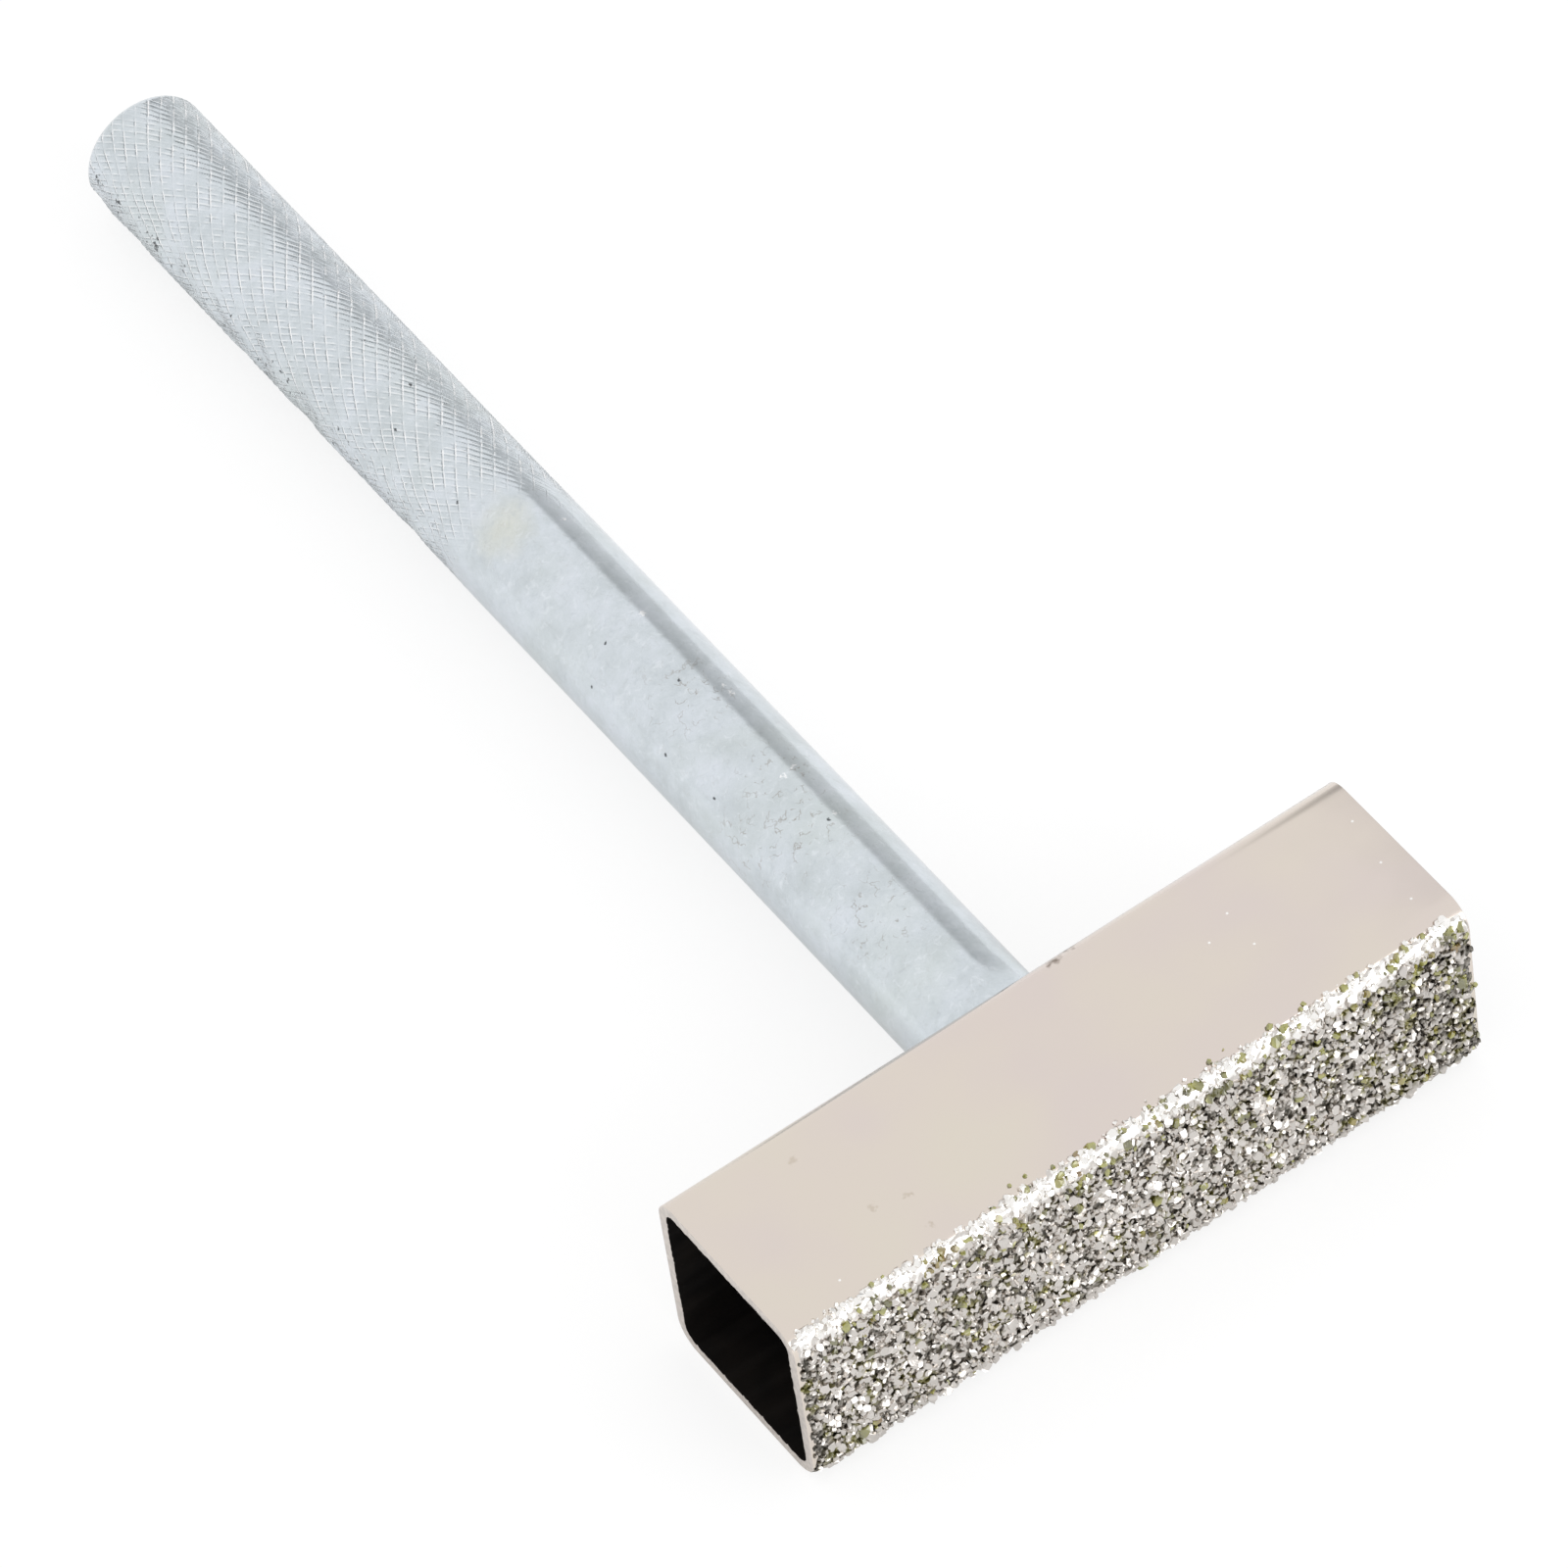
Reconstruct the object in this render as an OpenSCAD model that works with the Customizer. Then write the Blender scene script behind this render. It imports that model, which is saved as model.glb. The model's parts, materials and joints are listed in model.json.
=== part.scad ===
// Diamond wheel dresser: a hand tool that trues and cleans grinding wheels.
// A square tube head carries a coat of diamond grit on its front face,
// and a knurled rod handle is riveted through the middle of its back wall.
// Origin: middle of the tube's underside. X runs along the tube, +Y along
// the handle to its free end, +Z up. Sizes are in millimetres.

/* [Head tube] */
// Length of the tube
tube_length = 45; // [30:0.5:80]
// Width of the tube from the grit face to the handle face
tube_width = 12.7; // [11.5:0.1:20]
// Height of the tube from the underside to the top
tube_height = 12.7; // [11.5:0.1:20]
// Thickness of the tube wall
tube_wall = 0.7; // [0.5:0.05:1.2]
// Outer radius of the tube's corners
tube_corner = 1.6; // [1.4:0.1:2.4]

/* [Handle] */
// Length of the handle from the tube's back face to the top of its dome
handle_length = 87; // [60:1:140]
// Diameter of the smooth shank
shank_diameter = 7.9; // [6.5:0.1:10]
// Radius of the rounded edge at the free end
end_round = 1.2; // [0.6:0.1:2]
// Rise of the shallow dome on the free end
end_dome = 0.4; // [0.2:0.05:0.8]

/* [Rivet] */
// Diameter of the spigot that goes through the tube wall
spigot_diameter = 5; // [3:0.1:5.6]
// Radial clearance of the spigot in its hole
spigot_clearance = 0.05; // [0.02:0.01:0.2]
// Diameter of the riveted head inside the tube
rivet_diameter = 7; // [6:0.1:8]
// Height of the riveted head above the inner wall
rivet_height = 1.4; // [0.8:0.1:2.4]

/* [Knurl] */
// Length of the knurled grip, measured back from the free end
knurl_length = 41; // [10:0.5:50]
// Number of grooves that start round the rod in each direction
knurl_starts = 27; // [16:1:36]
// Distance between two grooves of one direction, along the rod
knurl_pitch = 1.33; // [1:0.01:2]
// How far the crests of the knurl lie below the smooth shank
knurl_drop = 0.03; // [0.02:0.01:0.1]
// Depth of the grooves below the crests
knurl_depth = 0.16; // [0.08:0.01:0.3]
// Length over which the grooves fade into the smooth shank
knurl_fade = 2.2; // [0.7:0.1:4]

/* [Diamond layer] */
// Thickness of the coat over the middle of the face
grit_thickness = 0.36; // [0.25:0.01:0.6]
// Height of the grains above and below that thickness
grit_relief = 0.15; // [0.05:0.01:0.2]
// Distance between neighbouring grains
grit_spacing = 0.56; // [0.5:0.02:1.2]
// Thickness of the nickel at the border of the coat
grit_border = 0.1; // [0.05:0.01:0.2]
// Bare strip between the coat and each cut end of the tube
grit_end_margin = 0.5; // [0.2:0.1:3]
// Angle through which the coat wraps each front corner
grit_wrap = 46; // [30:1:60]
// Seed of the grains' scatter
grit_seed = 41; // [1:1:999]

/* [Hidden] */

$fn = 96;
// How far a cutting shape runs past the wall that it cuts
cut_overrun = 1;

// Tube
inner_corner = max(tube_corner - tube_wall, 0.2);
back_face = tube_width / 2;
handle_axis_height = tube_height / 2;

// Handle, along its own axis from the shoulder that seats on the tube
shank_radius = shank_diameter / 2;
grip_start = handle_length - knurl_length;
edge_start = handle_length - end_dome - end_round;
crest_radius = shank_radius - knurl_drop;
dome_base = crest_radius - end_round;
dome_radius = (dome_base * dome_base + end_dome * end_dome) / (2 * end_dome);
rivet_base = rivet_diameter / 2;
rivet_radius = (rivet_base * rivet_base + rivet_height * rivet_height) / (2 * rivet_height);

// Knurl: a ring of points every half pitch, crests and groove crossings by turns
ring_points = 2 * knurl_starts;
knurl_rows = round((edge_start - grip_start) / (knurl_pitch / 2));
row_pitch = (edge_start - grip_start) / knurl_rows;
edge_rings = 4;
dome_rings = 3;

// Diamond layer: a grid of grains along the tube and round its front profile
wrap_rows = 3;
wrap_step = grit_wrap / (wrap_rows - 0.5);
wrap_radius = tube_corner / cos(wrap_step / 2);
layer_length = tube_length - 2 * grit_end_margin;
layer_columns = round(layer_length / grit_spacing);
flat_half = tube_height / 2 - tube_corner + tube_corner * tan(wrap_step / 2);
flat_rows = round(2 * flat_half / grit_spacing);
layer_rows = 2 * (wrap_rows - 1) + flat_rows;
// How far a grain may stray from its place in the grid, as a share of the spacing
grain_stray = 0.28;
grain_count = (layer_columns + 1) * (layer_rows + 1);
grain_height = rands(-1, 1, grain_count, grit_seed);
grain_shift = rands(-grain_stray, grain_stray, grain_count, grit_seed + 1);

// Rectangle with round corners, centred on the origin
module rounded_rectangle(width, height, radius) {
    square([width - 2 * radius, height], center = true);
    square([width, height - 2 * radius], center = true);
    for (side = [-1, 1], level = [-1, 1])
        translate([side * (width / 2 - radius), level * (height / 2 - radius)])
            circle(r = radius);
}

// Bar along X whose section is a rounded rectangle on the tube's axis
module tube_bar(length, width, height, radius) {
    translate([-length / 2, 0, tube_height / 2])
        rotate([90, 0, 90])
            linear_extrude(height = length)
                rounded_rectangle(width, height, radius);
}

// Puts a shape made along Z from the shoulder onto the handle's axis
module on_handle_axis() {
    translate([0, back_face, handle_axis_height])
        rotate([-90, 0, 0])
            children();
}

// Cap of a sphere that rises along Z from a round base
module spherical_cap(base_radius, rise, sphere_radius) {
    intersection() {
        translate([0, 0, rise - sphere_radius])
            sphere(r = sphere_radius);
        cylinder(h = rise, r = base_radius);
    }
}

// Square tube with a hole in its back wall for the handle's spigot
module head_tube() {
    color("#DDD3C9")
    difference() {
        tube_bar(tube_length, tube_width, tube_height, tube_corner);
        tube_bar(tube_length + 2 * cut_overrun, tube_width - 2 * tube_wall,
                 tube_height - 2 * tube_wall, inner_corner);
        on_handle_axis()
            translate([0, 0, -tube_wall - cut_overrun])
                cylinder(h = tube_wall + 2 * cut_overrun, d = spigot_diameter + 2 * spigot_clearance);
    }
}

// Share of the full groove depth at a height on the handle
function groove_share(z) = min(1, max(0, (z - grip_start) / knurl_fade));

// One ring of the grip as [height, crest radius, groove radius]
function knurl_ring(z) = [z, crest_radius, crest_radius - knurl_depth * groove_share(z)];
function edge_ring(angle) =
    let (r = crest_radius - end_round * (1 - cos(angle)))
    [edge_start + end_round * sin(angle), r, min(r, crest_radius - knurl_depth)];
function dome_ring(r) =
    let (z = handle_length - dome_radius + sqrt(dome_radius * dome_radius - r * r))
    [z, r, r];

// Places of the grip's points: ring j, point i round the rod
function ring_point(ring, j, i) =
    let (angle = 360 * i / ring_points, r = ring[(i + j) % 2 == 0 ? 2 : 1])
    [r * cos(angle), r * sin(angle), ring[0]];
function ring_index(j, i) = j * ring_points + i % ring_points;

// Two triangles between neighbouring rings, split along the groove
function knurl_faces(j, i) =
    let (a = ring_index(j, i), b = ring_index(j, i + 1),
         c = ring_index(j + 1, i + 1), d = ring_index(j + 1, i))
    (i + j) % 2 == 0 ? [[a, d, c], [a, c, b]] : [[a, d, b], [b, d, c]];

// Knurled grip with its rounded edge and domed end, as rows of small pyramids
module knurled_grip() {
    rings = concat(
        [for (j = [0 : knurl_rows]) knurl_ring(grip_start + j * row_pitch)],
        [for (k = [1 : edge_rings]) edge_ring(90 * k / edge_rings)],
        [for (k = [1 : dome_rings - 1]) dome_ring(dome_base * (1 - k / dome_rings))]);
    last = len(rings) - 1;
    apex = len(rings) * ring_points;
    points = concat(
        [for (j = [0 : last], i = [0 : ring_points - 1]) ring_point(rings[j], j, i)],
        [[0, 0, handle_length]]);
    faces = concat(
        [[for (i = [0 : ring_points - 1]) ring_index(0, i)]],
        [for (j = [0 : last - 1], i = [0 : ring_points - 1]) each knurl_faces(j, i)],
        [for (i = [0 : ring_points - 1]) [apex, ring_index(last, i + 1), ring_index(last, i)]]);
    polyhedron(points = points, faces = faces);
}

// Turned rod: knurled grip, smooth shank, shoulder, spigot and riveted head
module handle() {
    color("#D5DBDF")
    on_handle_axis() {
        knurled_grip();
        cylinder(h = grip_start, r = shank_radius);
        translate([0, 0, -tube_wall])
            cylinder(h = tube_wall, d = spigot_diameter);
        translate([0, 0, -tube_wall])
            mirror([0, 0, 1])
                spherical_cap(rivet_base, rivet_height, rivet_radius);
    }
}

// Angle of a row above the front face's normal: 0 over the flat, down to -wrap at the bottom
function row_angle(j) =
    j < wrap_rows ? (wrap_rows - 0.5 - j) * wrap_step
    : j > layer_rows - wrap_rows ? (layer_rows - wrap_rows + 0.5 - j) * wrap_step
    : 0;

// Place of a row on the tube's front profile, as [y, z]
function row_place(j) =
    j < wrap_rows ? corner_place(row_angle(j), 1)
    : j > layer_rows - wrap_rows ? corner_place(row_angle(j), -1)
    : [-tube_width / 2, tube_height / 2 + flat_half - 2 * flat_half * (j - wrap_rows + 1) / flat_rows];
function corner_place(angle, level) = [
    -tube_width / 2 + tube_corner - wrap_radius * cos(angle),
    tube_height / 2 + level * (tube_height / 2 - tube_corner) + wrap_radius * sin(angle)];

// Whether a grain lies on the border of the coat
function on_border(i, j) = i == 0 || j == 0 || i == layer_columns || j == layer_rows;

// Thickness of the coat at a grain
function grain_thickness(i, j) =
    on_border(i, j) ? grit_border
    : grit_thickness + grit_relief * grain_height[j * (layer_columns + 1) + i];

// Point of the outer surface over column i and row j
function grain_point(i, j) =
    let (place = row_place(j), angle = row_angle(j), t = grain_thickness(i, j),
         stray = on_border(i, j) ? 0 : grain_shift[j * (layer_columns + 1) + i],
         x = -layer_length / 2 + layer_length * (i + stray) / layer_columns)
    [x, place[0] - t * cos(angle), place[1] + t * sin(angle)];
function grain_index(i, j) = j * (layer_columns + 1) + i;

// Two triangles of the outer surface, with the split turned by turns
function grain_faces(i, j) =
    let (a = grain_index(i, j), b = grain_index(i + 1, j),
         c = grain_index(i + 1, j + 1), d = grain_index(i, j + 1))
    (i + j) % 2 == 0 ? [[a, b, c], [a, c, d]] : [[a, b, d], [b, c, d]];

// Coat of grit that lies on the front face and round both front corners
module diamond_layer() {
    seat_left = grain_count;
    seat_right = grain_count + layer_rows + 1;
    points = concat(
        [for (j = [0 : layer_rows], i = [0 : layer_columns]) grain_point(i, j)],
        [for (side = [-1, 1], j = [0 : layer_rows]) concat(side * layer_length / 2, row_place(j))]);
    outer = [for (j = [0 : layer_rows - 1], i = [0 : layer_columns - 1]) each grain_faces(i, j)];
    seat = [for (j = [0 : layer_rows - 1])
        [seat_left + j, seat_left + j + 1, seat_right + j + 1, seat_right + j]];
    left_end = [for (j = [0 : layer_rows - 1])
        [seat_left + j, grain_index(0, j), grain_index(0, j + 1), seat_left + j + 1]];
    right_end = [for (j = [0 : layer_rows - 1])
        [seat_right + j, seat_right + j + 1,
         grain_index(layer_columns, j + 1), grain_index(layer_columns, j)]];
    top_border = concat([seat_left, seat_right], [for (i = [layer_columns : -1 : 0]) grain_index(i, 0)]);
    bottom_border = concat([seat_right + layer_rows, seat_left + layer_rows],
                           [for (i = [0 : layer_columns]) grain_index(i, layer_rows)]);
    color("#A8A496")
        polyhedron(points = points,
                   faces = concat(outer, seat, left_end, right_end, [top_border, bottom_border]));
}

head_tube();
handle();
diamond_layer();
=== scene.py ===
"""Looks of a diamond wheel dresser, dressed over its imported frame.

The tool is a square nickel-plated tube with a coat of diamond grit on its front face, and a
zinc-plated rod with a knurled grip as its handle. Lengths are in metres, in the frame's axes:
X along the tube, +Y along the handle to its free end, +Z up. Fields that end in _mm are in
millimetres; they size and place the patterns of the finishes.
"""

import json
import logging
import math
import random
from dataclasses import dataclass, field
from enum import Enum

import bmesh
import bpy
from mathutils import Matrix, Vector, noise


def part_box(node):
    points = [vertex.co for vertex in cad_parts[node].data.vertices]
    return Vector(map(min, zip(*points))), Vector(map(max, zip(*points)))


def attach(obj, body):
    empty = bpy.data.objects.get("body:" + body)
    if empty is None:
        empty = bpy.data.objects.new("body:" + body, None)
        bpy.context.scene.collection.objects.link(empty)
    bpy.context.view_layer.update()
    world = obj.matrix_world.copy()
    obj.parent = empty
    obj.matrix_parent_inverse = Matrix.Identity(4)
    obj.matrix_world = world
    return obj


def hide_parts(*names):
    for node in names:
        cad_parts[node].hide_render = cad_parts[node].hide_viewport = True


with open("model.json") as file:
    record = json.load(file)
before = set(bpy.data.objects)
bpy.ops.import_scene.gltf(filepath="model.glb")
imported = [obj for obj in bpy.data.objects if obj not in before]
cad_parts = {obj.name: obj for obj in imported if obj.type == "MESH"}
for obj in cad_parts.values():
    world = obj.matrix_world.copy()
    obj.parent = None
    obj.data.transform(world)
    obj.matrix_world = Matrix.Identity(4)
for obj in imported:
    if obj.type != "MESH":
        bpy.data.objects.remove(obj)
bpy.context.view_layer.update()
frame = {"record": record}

LOG = logging.getLogger("dresser")
MM = 0.001
FULL_TURN = 2.0 * math.pi
WHITE = (1.0, 1.0, 1.0, 1.0)
# Points closer than this count as one.
TOUCH = 0.001 * MM
# Inputs of a Map Range node: the range of values that it takes and the range that it gives.
FROM = (1, 2)
TO = (3, 4)
# Range that holds most values of a noise.
NOISE_SPAN = (0.3, 0.7)

Tree = bpy.types.NodeTree
Socket = bpy.types.NodeSocket
Material = bpy.types.Material
SceneObject = bpy.types.Object
Shape = bmesh.types.BMesh
Span = tuple[float, float]
Places = tuple[tuple[float, float, float], ...]


# Small helpers

def linear(hex_colour: str) -> tuple[float, float, float, float]:
    """Turn an sRGB hex colour into linear RGBA.

    Args:
        hex_colour: Colour such as "#A0B1C2".

    Returns:
        The linear colour with an alpha of one.
    """
    channels = [int(hex_colour[i:i + 2], 16) / 255.0 for i in (1, 3, 5)]
    low = [c / 12.92 if c <= 0.04045 else ((c + 0.055) / 1.055) ** 2.4 for c in channels]
    return low[0], low[1], low[2], 1.0


def per_mm(size_mm: float) -> float:
    """Return the texture scale at which a pattern's features measure size_mm."""
    return 1.0 / (size_mm * MM)


def smooth_step(low: float, high: float, value: float) -> float:
    """Rise smoothly from 0 at low to 1 at high.

    Args:
        low: Value at which the rise starts.
        high: Value at which the rise ends.
        value: Place on the rise.

    Returns:
        A number from 0 to 1.
    """
    share = min(1.0, max(0.0, (value - low) / (high - low)))
    return share * share * (3.0 - 2.0 * share)


def add_node(tree: Tree, kind: str, settings: dict | None = None, links: dict | None = None,
             out: int | str = 0) -> Socket:
    """Add a shader node with its settings and links.

    Args:
        tree: Node tree that gets the node.
        kind: Blender's name of the node type, without the ShaderNode in front.
        settings: Values by input name, input number, pair of input numbers or property name, with
            colours as hex strings; "stops" are a colour ramp's positions and hex colours.
        links: Output sockets by input name or input number.
        out: Name or number of the output that is wanted.

    Returns:
        That output socket.
    """
    node = tree.nodes.new("ShaderNode" + kind)
    for name, value in (settings or {}).items():
        if name == "stops":
            elements = node.color_ramp.elements
            while len(elements) < len(value):
                elements.new(0.5)
            for element, (position, colour) in zip(elements, value):
                element.position = position
                element.color = linear(colour)
        elif isinstance(name, tuple):
            for number, part in zip(name, value):
                node.inputs[number].default_value = part
        elif isinstance(name, int) or name in node.inputs:
            node.inputs[name].default_value = linear(value) if isinstance(value, str) else value
        else:
            setattr(node, name, value)
    for name, socket in (links or {}).items():
        tree.links.new(socket, node.inputs[name])
    return node.outputs[out]


def spots(tree: Tree, place: Socket, centres_mm: Places, reach_mm: float, soft: float = 1.0) -> Socket:
    """Give 1 at some points of the object and 0 from the reach outwards.

    Args:
        tree: Node tree that gets the nodes.
        place: Object coordinates.
        centres_mm: Centres of the spots.
        reach_mm: Radius at which a spot ends.
        soft: Share of the radius over which a spot fades.

    Returns:
        Socket with the strength of the nearest spot.
    """
    strength = None
    edge = ((1.0 - soft) * reach_mm * MM, reach_mm * MM)
    for centre in centres_mm:
        gap = add_node(tree, "VectorMath", {"operation": "DISTANCE", 1: Vector(centre) * MM}, {0: place},
                       "Value")
        spot = add_node(tree, "MapRange", {FROM: edge, TO: (1.0, 0.0)}, {0: gap})
        if strength:
            spot = add_node(tree, "Math", {"operation": "MAXIMUM"}, {0: strength, 1: spot})
        strength = spot
    return strength


def ragged(tree: Tree, place: Socket, cell_mm: float, shift_mm: float) -> Socket:
    """Shift object coordinates by noise, so that a spot or a line drawn on them gets an uneven outline.

    Args:
        tree: Node tree that gets the nodes.
        place: Object coordinates.
        cell_mm: Size of the noise.
        shift_mm: Full range of the shift.

    Returns:
        Socket with the shifted coordinates.
    """
    drift = add_node(tree, "TexNoise", {"Scale": per_mm(cell_mm), "Detail": 3.0}, {"Vector": place}, "Color")
    drift = add_node(tree, "VectorMath", {"operation": "SUBTRACT", 1: (0.5, 0.5, 0.5)}, {0: drift})
    return add_node(tree, "VectorMath", {"operation": "MULTIPLY_ADD", 1: [shift_mm * MM] * 3},
                    {0: drift, 2: place})


def lay_over(tree: Tree, colour: Socket, layers: tuple) -> Socket:
    """Lay shades over a colour, one after the other.

    Args:
        tree: Node tree that gets the nodes.
        colour: Colour at the bottom.
        layers: For each layer the socket of its strength, the strengths at which it starts and is full, its
            share when full and its hex colour.

    Returns:
        Socket with the finished colour.
    """
    for strength, low, high, share, shade in layers:
        factor = add_node(tree, "MapRange", {FROM: (low, high), TO: (0.0, share)}, {0: strength})
        colour = add_node(tree, "Mix", {"data_type": "RGBA", 7: shade}, {0: factor, 6: colour}, 2)
    return colour


def new_material(name: str) -> tuple[Material, Tree, bpy.types.Node]:
    """Make a node material with one Principled shader.

    Args:
        name: Name of the material.

    Returns:
        The material, its node tree and its shader node.
    """
    material = bpy.data.materials.new(name)
    material.use_nodes = True
    tree = material.node_tree
    return material, tree, tree.nodes["Principled BSDF"]


def plug(tree: Tree, node: bpy.types.Node, inputs: dict) -> None:
    """Link sockets to a node's inputs and set plain values on them.

    Args:
        tree: Node tree with the node.
        node: Node whose inputs are set.
        inputs: Output sockets and plain values by input name.
    """
    for name, value in inputs.items():
        if isinstance(value, Socket):
            tree.links.new(value, node.inputs[name])
        else:
            node.inputs[name].default_value = value


def object_place(tree: Tree) -> Socket:
    """Return the object coordinates, which are the part's own metres."""
    return add_node(tree, "TexCoord", out="Object")


def add_piece(name: str, shape: Shape, materials: list[Material], node: str | None = None,
              smooth: bool = True) -> SceneObject:
    """Turn a finished shape into a piece that rides on the part.

    Args:
        name: Name of the piece.
        shape: Finished bmesh, which is freed.
        materials: Materials in the order of the faces' material numbers.
        node: CAD node that the piece stands for.
        smooth: Whether the faces are shaded smooth.

    Returns:
        The new object.
    """
    for face in shape.faces:
        face.smooth = smooth
    mesh = bpy.data.meshes.new(name)
    shape.to_mesh(mesh)
    shape.free()
    piece = bpy.data.objects.new(name, mesh)
    bpy.context.scene.collection.objects.link(piece)
    for material in materials:
        mesh.materials.append(material)
    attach(piece, "root")
    if node:
        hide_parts(node)
    LOG.info("%s: %d faces", name, len(mesh.polygons))
    return piece


# Finishes

@dataclass(frozen=True)
class Knurl:
    """Crossed grooves of a rolled grip: coarse ones that wind one way and fine ones that wind the other."""

    start: float
    axis_height: float
    starts: int = 27
    pitch: float = 1.33 * MM

    def phases(self, angle: float, along: float) -> Span:
        """Phase of a place in the coarse and the fine grooves, whose middles are at whole numbers."""
        turns = self.starts * angle / FULL_TURN
        rows = (along - self.start) / self.pitch
        return turns - rows, 2.0 * (turns + rows)

    def phase_nodes(self, tree: Tree, place: Socket) -> list[Socket]:
        """Work out the same phases in a material, as their share of a groove with its middle at 0.5.

        Args:
            tree: Node tree that gets the nodes.
            place: Object coordinates.

        Returns:
            The sockets of the coarse and the fine grooves.
        """
        split = add_node(tree, "SeparateXYZ", links={0: place}).node.outputs
        lift = add_node(tree, "Math", {"operation": "SUBTRACT", 1: self.axis_height}, {0: split["Z"]})
        angle = add_node(tree, "Math", {"operation": "ARCTAN2"}, {0: split["X"], 1: lift})
        turns = add_node(tree, "Math", {"operation": "MULTIPLY", 1: self.starts / FULL_TURN}, {0: angle})
        rows = add_node(tree, "Math", {"operation": "MULTIPLY_ADD", 1: 1.0 / self.pitch,
                        2: -self.start / self.pitch}, {0: split["Y"]})
        cycles = []
        for operation, count in (("SUBTRACT", 1.0), ("ADD", 2.0)):
            phase = add_node(tree, "Math", {"operation": operation}, {0: turns, 1: rows})
            phase = add_node(tree, "Math", {"operation": "MULTIPLY_ADD", 1: count, 2: 0.5}, {0: phase})
            cycles.append(add_node(tree, "Math", {"operation": "FRACT"}, {0: phase}))
        return cycles


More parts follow.
